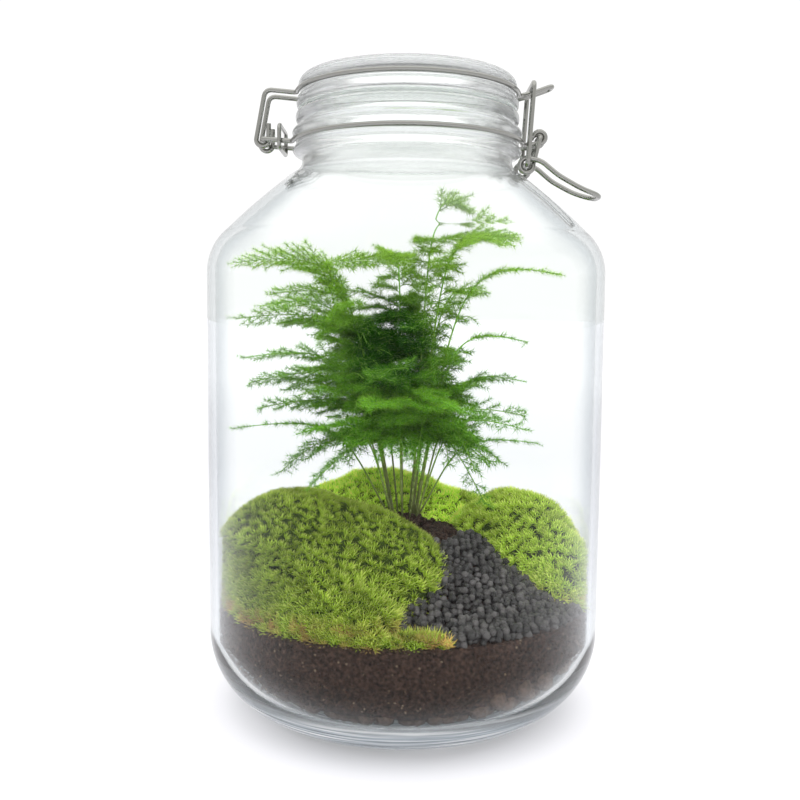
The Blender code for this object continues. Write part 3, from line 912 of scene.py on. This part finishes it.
class TERRARIUM_OT_lid_wire(bpy.types.Operator):
    """Bends the lid's wire: hinge coils, ring and upturned catch"""

    bl_idname = "terrarium.lid_wire"
    bl_label = "Lid wire"

    def execute(self, context):
        hinge = pivot("lid_hinge")
        coil = side_turn(hinge, 2.7, -LID_HINGE_Y, -LID_HINGE_Y, 360, 172, 24)
        half = [((hinge[0] + 2.7, -LID_HINGE_Y, 259.0), 0.0)] + coil
        half += [((-62.2, -LID_HINGE_Y, 273.6), 3.2)]
        half += [((-LID_RING_RADIUS + 0.4, -LID_HINGE_Y, LID_RING_Z), 2.0)]
        half += ring_turn(LID_RING_RADIUS, LID_RING_Z, -170, -9, 80)
        half += [((LID_RING_RADIUS - 0.1, -CATCH_Y, LID_RING_Z), 2.6)]
        half += [((54.5, -CATCH_Y, 273.7), 2.6), ((63.7, -CATCH_Y, 277.0), 2.6)]
        made = wire("lid_hoop", wire_path(mirrored(half)), sizes().wire, drawn_steel())
        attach(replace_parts(made, "lid_wire"), "lid")
        return {"FINISHED"}


class TERRARIUM_OT_latch(bpy.types.Operator):
    """Bends the lever, with its pins, coils and looped handle, and the closed bail"""

    bl_idname = "terrarium.latch"
    bl_label = "Latch"

    def execute(self, context):
        steel = drawn_steel()
        eye = pivot("lever_pivot")
        coil = pivot("bail_pivot")
        half = [((eye[0], -2.4, eye[1]), 0.0), ((eye[0], -ARM_Y, eye[1]), 2.0)]
        half += side_turn(coil, 3.0, -ARM_Y, -COIL_Y, 10, -270, 30)
        half += [((58.5, -COIL_Y - 0.1, 243.6), 2.5), ((66.0, -10.0, 237.4), 3.0)]
        half += [((76.0, -9.4, 232.0), 4.0), ((85.3, -HANDLE_Y, 229.0), 5.0)]
        lever = wire("lever_handle", wire_path(mirrored(half)), sizes().lever_wire, steel)
        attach(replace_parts(lever, "latch_lever"), "lever")
        corners = [(coil, -BAIL_Y, 2.4), ((54.5, 276.8), -BAIL_Y, 3.0)]
        corners += [((54.5, 276.8), BAIL_Y, 3.0), (coil, BAIL_Y, 2.4)]
        path = wire_path([((at[0], y, at[1]), bend) for at, y, bend in corners])
        bail = wire("bail_loop", path, sizes().lever_wire, steel, closed=True)
        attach(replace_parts(bail, "latch_bail"), "bail")
        return {"FINISHED"}


class TERRARIUM_OT_soil(bpy.types.Operator):
    """Heaps the soil over its clay balls, with loose crumbs on top"""

    bl_idname = "terrarium.soil"
    bl_label = "Soil and drainage"

    def execute(self, context):
        earth = humus()
        side = arc(INNER_ARC_RADIUS, INNER_ARC_Z, INNER_CORNER - 3.4, -52, -14, 10)
        side += [(INNER_RADIUS - 1.8, 35.0)]
        rise = [(INNER_RADIUS - 1.5, z) for z in np.linspace(38.0, SOIL_EDGE_Z - 1.0, 10)]
        top = [(r, soil_height(r)) for r in np.linspace(INNER_RADIUS - 2.0, 0.0, 60)]
        profile = [(0.0, side[0][1])] + side + rise + top
        heap = turned("soil_heap", profile, earth, steps=220)
        for vert in heap.data.vertices:
            where = vert.co / MM
            out = Vector((where.x, where.y, 0.0))
            ripple = noise.fractal(where / 3.2, 0.8, 2.0, 3)
            if out.length <= INNER_RADIUS - 2.2 and where.z >= SOIL_EDGE_Z - 2.0:
                vert.co.z += ripple * 1.1 * MM
            elif out.length > 20:
                vert.co += out.normalized() * min(ripple, 0.9) * 0.9 * MM
        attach(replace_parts(heap, "soil"), "jar")
        self.clay()
        self.crumbs(earth)
        return {"FINISHED"}

    def clay(self):
        """A bed of clay balls on the jar's floor, with a few against the glass."""
        rng = np.random.default_rng(5)
        radius = sizes().clay_ball / MM
        balls = []
        for ring in np.arange(0.0, 72.0, radius * 1.9):
            count = max(1, int(math.tau * ring / (radius * 2.0)))
            for i in range(count):
                size = radius * rng.uniform(0.8, 1.05)
                lift = max(0.0, ring - INNER_ARC_RADIUS) ** 2 / (2 * INNER_CORNER)
                at = polar(ring, math.tau * i / count, INNER_FLOOR + 1.0 + size + lift)
                balls.append(tossed(at, size, rng))
        row = range(0, 360, 7)
        spots = [(angle + rng.uniform(-3, 3), 16.5 + rng.uniform(-1, 2.5)) for angle in row]
        for angle, z in spots + CLAY_IN_SIGHT:
            size = radius * rng.uniform(0.8, 1.1)
            at = polar(against_glass(z, size + 0.4), math.radians(angle), z)
            balls.append(tossed(at, size, rng))
        copies = zip(balls, rng.uniform(0, 1, len(balls)))
        bed = gathered("clay_balls", [(stone(3, 0.12, 8, 5), copies, 0)], [fired_clay()])
        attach(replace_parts(bed, "drainage_layer"), "jar")

    def crumbs(self, earth):
        """Loose crumbs on the soil's top, and crumbs and pale grit in its face behind the glass."""
        rng = np.random.default_rng(11)
        dark, pale = [], []
        for _ in range(TOP_CRUMBS):
            radius = 70.0 * math.sqrt(rng.uniform(0.03, 1.0))
            turn = rng.uniform(0, math.tau)
            size = rng.uniform(0.35, 1.3)
            dark.append(tossed(polar(radius, turn, soil_height(radius) + 0.5 * size), size, rng))
        for _ in range(FACE_CRUMBS):
            turn, z = rng.uniform(0, math.tau), rng.uniform(FACE_LOW_Z, SOIL_EDGE_Z - 0.5)
            size = rng.uniform(0.3, 0.85)
            if z < CLAY_TOP_Z and -1.25 < turn - math.tau < -0.5:
                continue
            held, scale = (pale, 0.7) if rng.uniform() < 0.03 else (dark, 1.0)
            held.append(tossed(polar(against_glass(z, 1.3), turn, z), size * scale, rng))
        grain = stone(8, 0.5, 5, 4)
        groups = [
            (grain, [(move, 0.5) for move in moves], slot) for slot, moves in enumerate((dark, pale))
        ]
        grit = surface("pale_grit", 0.9, colours().grit)[0]
        loose = gathered("soil_crumbs", groups, [earth, grit])
        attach(loose, "jar")


class TERRARIUM_OT_gravel(bpy.types.Operator):
    """Pours the gravel path from the plant out to the front glass"""

    bl_idname = "terrarium.gravel"
    bl_label = "Gravel path"

    def execute(self, context):
        rng = np.random.default_rng(21)
        grain = sizes().grain / MM
        shapes = [stone(seed, 0.35) for seed in range(3)]
        heaps = [[] for _ in shapes]
        mounds = (MOSS_DOMES["moss_mound_left"], MOSS_DOMES["moss_mound_right"])
        xs = np.arange(-26.0, 76.0, grain * 1.5)
        ys = np.arange(-84.0, -2.0, grain * 1.5)
        for layer in range(2):
            for x, y in scattered(xs, ys, 0.8, rng):
                radius = math.hypot(x, y)
                edge = 3.0 * noise.noise(Vector((x, y, 0)) / 9.0)
                if not 29.0 + edge < radius < INNER_RADIUS - grain - 0.3:
                    continue
                if max(moss_depth(domes, x, y) for domes in mounds) > 2.0:
                    continue
                size = grain * rng.uniform(0.7, 1.15)
                lift = grain * (0.55 + 1.15 * layer) + rng.uniform(-0.3, 0.4)
                at = Vector((x, y, soil_height(radius) + lift))
                turn = Vector(rng.uniform(-1, 1, 3)).normalized()
                flat = aimed(at, turn, size * 0.8, size, rng.uniform(0, math.tau))
                heaps[rng.integers(len(shapes))].append(flat)
        groups = [
            (shape, zip(grains, rng.uniform(0, 1, len(grains))), 0)
            for shape, grains in zip(shapes, heaps)
        ]
        path = gathered("gravel_grains", groups, [tumbled_basalt()])
        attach(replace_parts(path, "gravel_path"), "jar")
        return {"FINISHED"}


class TERRARIUM_OT_moss(bpy.types.Operator):
    """Grows the three moss mounds, tuft by tuft"""

    bl_idname = "terrarium.moss"
    bl_label = "Moss mounds"

    def execute(self, context):
        turf = moss_turf()
        leaf = moss_leaves()
        for seed, (name, domes) in enumerate(MOSS_DOMES.items()):
            self.felt(name, domes, turf)
            self.tufts(name, domes, leaf, np.random.default_rng(40 + seed))
        return {"FINISHED"}

    def felt(self, name, domes, turf):
        """The mound's closed body under its tufts."""
        bm = bmesh.new()
        bmesh.ops.create_grid(bm, x_segments=110, y_segments=110, size=MOSS_REACH)
        bare = []
        for vert in bm.verts:
            radius = vert.co.xy.length
            outside = radius > MOSS_LIMIT - 3.0 or radius < CROWN_SHELF
            if outside or moss_depth(domes, vert.co.x, vert.co.y) < 0.8:
                bare.append(vert)
        bmesh.ops.delete(bm, geom=bare, context="VERTS")
        for vert in bm.verts:
            vert.co.z = soil_height(vert.co.xy.length) + 0.2
        raised = bmesh.ops.extrude_face_region(bm, geom=list(bm.faces))
        for vert in (item for item in raised["geom"] if isinstance(item, bmesh.types.BMVert)):
            depth = moss_depth(domes, vert.co.x, vert.co.y)
            vert.co.z += max(0.3, depth - 1.4)
        loose = [vert for vert in bm.verts if not vert.link_faces]
        bmesh.ops.delete(bm, geom=loose, context="VERTS")
        bmesh.ops.recalc_face_normals(bm, faces=bm.faces)
        body = finish(name.replace("mound", "felt"), bm, turf)
        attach(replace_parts(body, name), "jar")

    def tufts(self, name, domes, leaf, rng):
        """Star tufts over the mound's top, and on its face against the glass."""
        layout = [(8, 0, 1.0), (18, 180, 0.95)]
        layout += [(40 + 10 * (k % 2), 51 * k, 0.85) for k in range(7)]
        copies = self.on_top(domes, rng) + self.on_face(domes, rng)
        grown = gathered(name.replace("mound", "tufts"), [(leaves(layout, 0.1), copies, 0)], [leaf])
        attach(grown, "jar")

    def on_top(self, domes, rng):
        """Tufts over a mound's top, more of them where it is steep."""
        span = np.arange(-MOSS_REACH, MOSS_REACH, sizes().tuft_gap / MM)
        copies = []
        for px, py in scattered(span, span, 1.0, rng):
            if not CROWN_SHELF <= math.hypot(px, py) <= MOSS_LIMIT - 0.6:
                continue
            if moss_depth(domes, px, py) < 0.4:
                continue
            slope_x, slope_y = moss_slope(domes, px, py)
            steep = math.sqrt(1 + slope_x**2 + slope_y**2)
            normal = Vector((-slope_x, -slope_y, 1.0)).normalized()
            for _ in range(min(4, int(steep + rng.uniform(0, 1)))):
                shift = Vector((*rng.uniform(-0.8, 0.8, 2), 0.0))
                x, y = px + shift.x, py + shift.y
                reach = math.hypot(x, y)
                depth = moss_depth(domes, x, y)
                if reach > MOSS_LIMIT - 0.4 or depth < 0.2:
                    continue
                at = Vector((x, y, soil_height(reach) + depth - 1.8))
                copies.append(self.tuft(at, normal, sizes().tuft / MM, rng))
        return copies

    def on_face(self, domes, rng):
        """Tufts on a mound's face against the glass, leaning out and up."""
        gap = 0.8 * sizes().tuft_gap / MM
        size = sizes().tuft / MM
        copies = []
        for turn in np.arange(0, math.tau, gap / MOSS_LIMIT):
            x, y = MOSS_LIMIT * math.cos(turn), MOSS_LIMIT * math.sin(turn)
            out = Vector((x, y, 0.0)).normalized()
            along = Vector((-out.y, out.x, 0.0))
            for rise in np.arange(0.0, max(0.0, moss_depth(domes, x, y)), gap):
                at = Vector((x, y, soil_height(MOSS_LIMIT) + rise + rng.uniform(-1.2, 1.2)))
                at += along * rng.uniform(-1.2, 1.2) - out * (size * 0.62 + rng.uniform(0, 0.8))
                copies.append(self.tuft(at, out * 0.8 + Vector((0, 0, 0.9)), size * 0.8, rng))
        return copies

    def tuft(self, at, normal, size, rng):
        """One tuft, longer and yellower low at the front, where new shoots press to the light."""
        lean = (normal + Vector(rng.uniform(-0.45, 0.45, 3)) + Vector((0, 0, 0.2))).normalized()
        fresh = clamp((80.0 - at.z) / 24.0) * clamp(-at.y / 45.0)
        fresh *= 0.5 + 0.5 * noise.noise(at / 16.0 + Vector((5.0, 0, 0)))
        tall = size * rng.uniform(0.75, 1.2) * (1.0 + 1.4 * fresh)
        if at.x > RIGHT_MOUND_X or at.y > 5.0:
            tall *= 1.25
        placed = aimed(at, lean, tall, tall, rng.uniform(0, math.tau))
        patch = 0.5 + 0.6 * noise.noise(at / 11.0) + 0.4 * noise.noise(at / 4.0)
        bright = 0.03 + 0.26 * patch + 0.24 * fresh
        # Painted light: tufts on the right mound are painted lighter
        if at.x > RIGHT_MOUND_X:
            bright += 0.22
        # Painted light: the mound at the back is painted the palest, to make up for the shade it stands in,
        # away from the one at the right
        bright += 0.65 * clamp((at.y - 4.0) / 12.0) if at.x < 28.0 else 0.05
        # Old leaves show in patches along the soil
        old = clamp((60.0 - at.z) / 7.0) * (0.6 + 1.3 * noise.noise(at / 6.0))
        age = old if rng.uniform() < 0.7 else 0.25 * fresh
        return placed, (clamp(bright + rng.uniform(-0.13, 0.13)), clamp(age, 0.9))


class TERRARIUM_OT_fern(bpy.types.Operator):
    """Grows the asparagus fern: crown, stems, level sprays and needles"""

    bl_idname = "terrarium.fern"
    bl_label = "Asparagus fern"

    def execute(self, context):
        self.materials = [fern_needles(), fern_stem()]
        self.centre = (CROWN_LOW + CROWN_HIGH) / 2 / MM
        self.top = CROWN_HIGH.z / MM
        layout = [(38 + 14 * (k % 2), 97 * k, 1.0 - 0.08 * (k % 3)) for k in range(4)]
        self.shapes = (leaves(layout, 0.038), stick(5), stick(3))
        self.crown()
        for seed, name in enumerate(FRONDS):
            self.frond(name, np.random.default_rng(70 + seed))
        return {"FINISHED"}

    def crown(self):
        """A knot of old stem bases and soil."""
        rng = np.random.default_rng(3)
        lumps = []
        for _ in range(160):
            turn, out = rng.uniform(0, math.tau), 9.5 * math.sqrt(rng.uniform(0, 1))
            at = self.centre + polar(out, turn)
            at.z = self.top - 4.5 + rng.uniform(0.0, 3.5) * (1 - out / 14)
            size = rng.uniform(1.0, 2.4)
            lump = aimed(at, Vector(rng.uniform(-1, 1, 3)).normalized(), size, size * 0.8)
            lumps.append((lump, rng.uniform(0, 1)))
        knot = gathered("fern_root_crown", [(stone(5, 0.5), lumps, 0)], [humus("crown_humus")])
        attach(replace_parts(knot, "fern_crown"), "jar")

    def line(self, tip):
        """A frond's centre line: up from the crown, then arching out to its tip."""
        out = Vector((tip[0], tip[1], 0.0)).normalized()
        tallness = (tip[2] - 98.0) / 128.0
        start = out * (8.3 - 4.5 * tallness) + Vector((self.centre.x, self.centre.y, 0.0))
        start.z = self.top - 1.0
        end = Vector(tip)
        reach = math.hypot(tip[0], tip[1])
        climb = start + out * 0.26 * reach + Vector((0, 0, 0.98 * (tip[2] - self.top)))
        fall = end - out * 0.66 * reach + Vector((0, 0, 8.0))
        points = []
        for t in np.linspace(0, 1, 41):
            u = 1.0 - t
            points.append(start * u**3 + climb * 3 * u * u * t + fall * 3 * u * t * t + end * t**3)
        return points

    def frond(self, name, rng):
        """One stem with its spray, and the smaller sprays that leave the stem below it."""
        tip, half_width, tilt, first = FRONDS[name]
        rods, self.twigs, self.brushes = [], [], []
        line = self.line(tip)
        for i, (a, b) in enumerate(zip(line, line[1:])):
            share = i / len(line)
            rod = aimed(a, b - a, (b - a).length * 1.03, 0.47 - 0.3 * share)
            rods.append((rod, min(1.0, 0.12 + share * 2.2)))
        self.spray(line[first:], half_width, tilt, rng)
        lowest, highest = STEM_SPRAYS_Z
        stem = [point for point in line[:22] if lowest < point.z < highest]
        for k, point in enumerate(stem[:: max(1, len(stem) // 12)]):
            self.side_sprays(point, k, tip, rng)
        if name in LEVEL_SPRAYS:
            height, out, reach = LEVEL_SPRAYS[name]
            start = min(line[:30], key=lambda point: abs(point.z - height))
            self.side_spray(start, Vector(out), reach, 6.0, rng, roll=0.5)
        groups = zip(self.shapes, (self.brushes, rods, self.twigs), (0, 1, 1))
        grown = gathered(name.replace("frond", "spray"), groups, self.materials)
        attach(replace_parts(grown, name), "jar")

    def side_sprays(self, point, k, tip, rng):
        """The sprays that leave one point of a stem: every fourth is long, and the heart is full."""
        low = point.z < DROOP_TOP_Z
        long = k % 4 == 2 and (low or tip[0] < 15.0) and point.z < LONG_TOP_Z
        heart = self.depth_in_heart(point) > 0.0
        turn = rng.uniform(0.15, 0.6) if long else rng.uniform(0.6, 2.4)
        turn = math.atan2(tip[1], tip[0]) + (1 if k % 2 else -1) * turn
        reach = rng.uniform(28.0, 44.0) if long else rng.uniform(8.0, 26.0 if heart else 13.0)
        droop = -0.75 if low and long else 0.0
        out = polar(1.0, turn, rng.uniform(-0.2, 0.3) + droop)
        self.side_spray(point, out, reach * (0.75 if low else 1.0), 3.0 if low else 5.0, rng)
        filled = int(point.z < FILLED_TOP_Z)
        for _ in range(3 if heart else filled):
            out = polar(1.0, rng.uniform(0, math.tau), rng.uniform(-0.5, 0.5))
            self.side_spray(point, out, rng.uniform(7.0, 19.0 if heart else 28.0), 6.0, rng)

    def side_spray(self, point, out, reach, base_width, rng, roll=None):
        """A smaller spray that leaves a stem."""
        end = point + out * reach
        middle = point + out * reach * 0.5 + Vector((0, 0, 4.0))
        shares = np.linspace(0, 1, 12)
        line = [point * (1 - t) ** 2 + middle * 2 * t * (1 - t) + end * t * t for t in shares]
        for a, b in zip(line, line[1:]):
            self.twig_between(a, b, 0.26)
        tilt = rng.uniform(-0.35, 0.35) if roll is None else roll
        self.spray(line, base_width + reach * 0.25, tilt, rng)

    def twig_between(self, start, end, radius):
        """Adds a twig from one point to another."""
        self.twigs.append((aimed(start, end - start, (end - start).length, radius), 0.8))

    def depth_in_heart(self, at):
        """1 in the middle of the fern's heart, 0 at its edge and below 0 outside."""
        x, z, half_width, half_height = HEART
        return 1.0 - ((at.x - x) / half_width) ** 2 - ((at.z - z) / half_height) ** 2

    def spray(self, line, half_width, roll, rng):
        """Nearly level branches on both sides of a line, longest near its start."""
        total = sum((b - a).length for a, b in zip(line, line[1:]))
        high = line[-1].z > CREST_Z
        count = max(4, int((1.7 if high else 1.15) * total / (sizes().branch_gap / MM)))
        for k in range(count):
            share = (k + 0.5) / count
            index = min(len(line) - 2, int(share * (len(line) - 1)))
            a, b = line[index], line[index + 1]
            if abs(a.x) > 14.0 and not high and rng.uniform() < (0.35 if a.x > 0.0 else 0.2):
                continue
            ahead = (b - a).normalized()
            base = a.lerp(b, share * (len(line) - 1) - index)
            side = 1 if k % 2 else -1
            sideways = Vector((0, 0, 1)).cross(ahead).normalized() * side
            lift = roll * side + rng.uniform(-0.2, 0.16)
            reach = half_width * (1.0 - share) ** 0.5 * rng.uniform(0.7, 1.15)
            reach *= min(1.0, 0.45 + share * 2.5)
            lead = (ahead + sideways + Vector((0, 0, lift))).normalized()
            self.branch(base, lead, max(3.0, reach), rng)
        self.needles(line[-4], line[-1] - line[-4], rng)

    def branch(self, base, lead, reach, rng):
        """A branch with alternate twigs, all lined with needles."""
        end = base + lead * reach - Vector((0, 0, 0.0016 * reach**2))
        if end.xy.length > leaf_reach(end.z):
            return
        self.twig_between(base, end, 0.13)
        self.needles(base, end - base, rng)
        gap = sizes().twig_gap / MM
        flat = Vector((0, 0, 1)).cross(lead).normalized()
        for k in range(int(reach / gap)):
            along = (k + 0.7) * gap / reach
            if along > 1:
                break
            start = base.lerp(end, along)
            side = flat * (1 if k % 2 else -1)
            aim = (lead * 0.8 + side * 0.8 + Vector((0, 0, rng.uniform(-0.35, 0.3)))).normalized()
            twig_reach = rng.uniform(2.5, 7.0) * (1.05 - along) ** 0.6
            self.twigs.append((aimed(start, aim, twig_reach, 0.08), 0.8))
            self.needles(start, aim * twig_reach, rng)

    def needles(self, base, run, rng):
        """Brushes of needles along a run, painted paler high up and away from the plant's heart and darker
        in it: painted light and shade, in the heart partly for older needles.
        """
        needle = sizes().needle / MM
        count = max(1, int(run.length / 1.3))
        for k in range(count):
            at = base + run * ((k + 0.5) / count)
            if at.xy.length > leaf_reach(at.z):
                continue
            outer = clamp((at.xy.length - 12.0) / 55.0)
            size = needle * rng.uniform(0.7, 1.1) * (1.0 - 0.25 * outer)
            brush = aimed(at, run, size, size, rng.uniform(0, math.tau))
            # Painted light: needles are painted lighter high up and far from the axis
            high = clamp((at.z - 115.0) / 85.0)
            bright = 0.05 + 0.42 * high**1.4 + 0.5 * outer + rng.uniform(-0.08, 0.12)
            # Low needles are paler; above them the heart is painted darker, painted shade that partly
            # stands for older needles
            if at.z < PALE_TOP_Z:
                bright += 0.17
            else:
                bright -= 0.42 * max(0.0, self.depth_in_heart(at)) ** 0.5
            new = 0.6 * high**2 * rng.uniform(0.5, 1.0)
            self.brushes.append((brush, (clamp(bright), new)))


class TERRARIUM_OT_stage(bpy.types.Operator):
    """Sets the white table, the soft studio light and the camera"""

    bl_idname = "terrarium.stage"
    bl_label = "Stage"

    def execute(self, context):
        bm = bmesh.new()
        bmesh.ops.create_grid(bm, x_segments=1, y_segments=1, size=60.0)
        bmesh.ops.translate(bm, verts=bm.verts, vec=(0, 0, -0.0002))
        finish("table", bm, painted_glow_floor(), scale=1.0)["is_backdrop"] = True
        self.light("overhead_softbox", (0.0, -0.15, 1.4), (0.0, 0.0, 0.1), 1.2, 12.0)
        self.light("front_softbox", (0.15, -1.5, 1.0), (0.0, 0.0, 0.1), 0.5, 13.0)
        self.surround(context.scene)
        self.camera(context.scene)
        context.scene.view_settings.view_transform = "Standard"
        return {"FINISHED"}

    def light(self, name, at, target, size, power):
        """A square softbox that faces a point."""
        lamp = bpy.data.lights.new(name, "AREA")
        lamp.size = size
        lamp.energy = power
        thing = linked(name, lamp)
        thing.location = at
        thing.rotation_euler = (Vector(target) - Vector(at)).to_track_quat("-Z", "Y").to_euler()
        thing.visible_glossy = False
        thing.visible_transmission = False

    def surround(self, scene):
        """A white room: brightest above, and a little dimmer in front so that the glass stays clear."""
        world = bpy.data.worlds.new("white_studio")
        world.use_nodes = True
        tree = world.node_tree
        coords = node(tree, "ShaderNodeTexCoord").outputs["Generated"]
        parts = node(tree, "ShaderNodeSeparateXYZ", {"Vector": coords}).outputs
        walls = spread(tree, parts["Y"], -0.4, 0.8, 0.95, 1.05)
        ceiling = spread(tree, parts["Z"], 0.3, 0.7, 0.0, 1.6)
        level = maths(tree, "MAXIMUM", walls, ceiling)
        background = tree.nodes["Background"]
        tree.links.new(level, background.inputs["Strength"])
        background.inputs["Color"].default_value = (1.0, 1.0, 1.0, 1.0)
        scene.world = world

    def camera(self, scene):
        """Just above the middle of the jar, close in front of it and tipped slightly down."""
        lens = bpy.data.cameras.new("camera")
        lens.sensor_width = 36.0
        lens.lens = 42.9
        lens.shift_x = -0.00625
        lens.shift_y = 0.00175
        lens.clip_end = 100.0
        eye = linked("camera", lens)
        tilt = Matrix.Rotation(math.radians(90) - 0.089, 4, "X") @ Matrix.Rotation(0.009, 4, "Z")
        eye.matrix_world = Matrix.Translation((0.0, -0.433, 0.1755)) @ tilt
        scene.camera = eye


class TERRARIUM_PT_panel(bpy.types.Panel):
    """Lists the pieces and their sizes and colours"""

    bl_idname = "TERRARIUM_PT_panel"
    bl_label = "Terrarium"
    bl_space_type = "VIEW_3D"
    bl_region_type = "UI"
    bl_category = "Terrarium"

    def draw(self, context):
        for operator in OPERATORS:
            self.layout.operator(operator.bl_idname)
        for group in (sizes(), colours()):
            box = self.layout.box()
            for name in group.__annotations__:
                box.prop(group, name)


OPERATORS = (
    TERRARIUM_OT_stage,
    TERRARIUM_OT_jar,
    TERRARIUM_OT_lid,
    TERRARIUM_OT_gasket,
    TERRARIUM_OT_neck_wire,
    TERRARIUM_OT_lid_wire,
    TERRARIUM_OT_latch,
    TERRARIUM_OT_soil,
    TERRARIUM_OT_gravel,
    TERRARIUM_OT_moss,
    TERRARIUM_OT_fern,
)
CLASSES = (TerrariumSizes, TerrariumColours, *OPERATORS, TERRARIUM_PT_panel)


def register():
    for made in CLASSES:
        bpy.utils.register_class(made)
    bpy.types.Scene.terrarium_sizes = bpy.props.PointerProperty(type=TerrariumSizes)
    bpy.types.Scene.terrarium_colours = bpy.props.PointerProperty(type=TerrariumColours)


def unregister():
    del bpy.types.Scene.terrarium_colours
    del bpy.types.Scene.terrarium_sizes
    for made in reversed(CLASSES):
        bpy.utils.unregister_class(made)


def main():
    register()
    for operator in OPERATORS:
        family, name = operator.bl_idname.split(".")
        getattr(getattr(bpy.ops, family), name)()
    boxes = {"cad": cad_box, "visual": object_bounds()}
    {name: [list(corner) for corner in box] for name, box in boxes.items()}


if __name__ == "__main__":
    main()
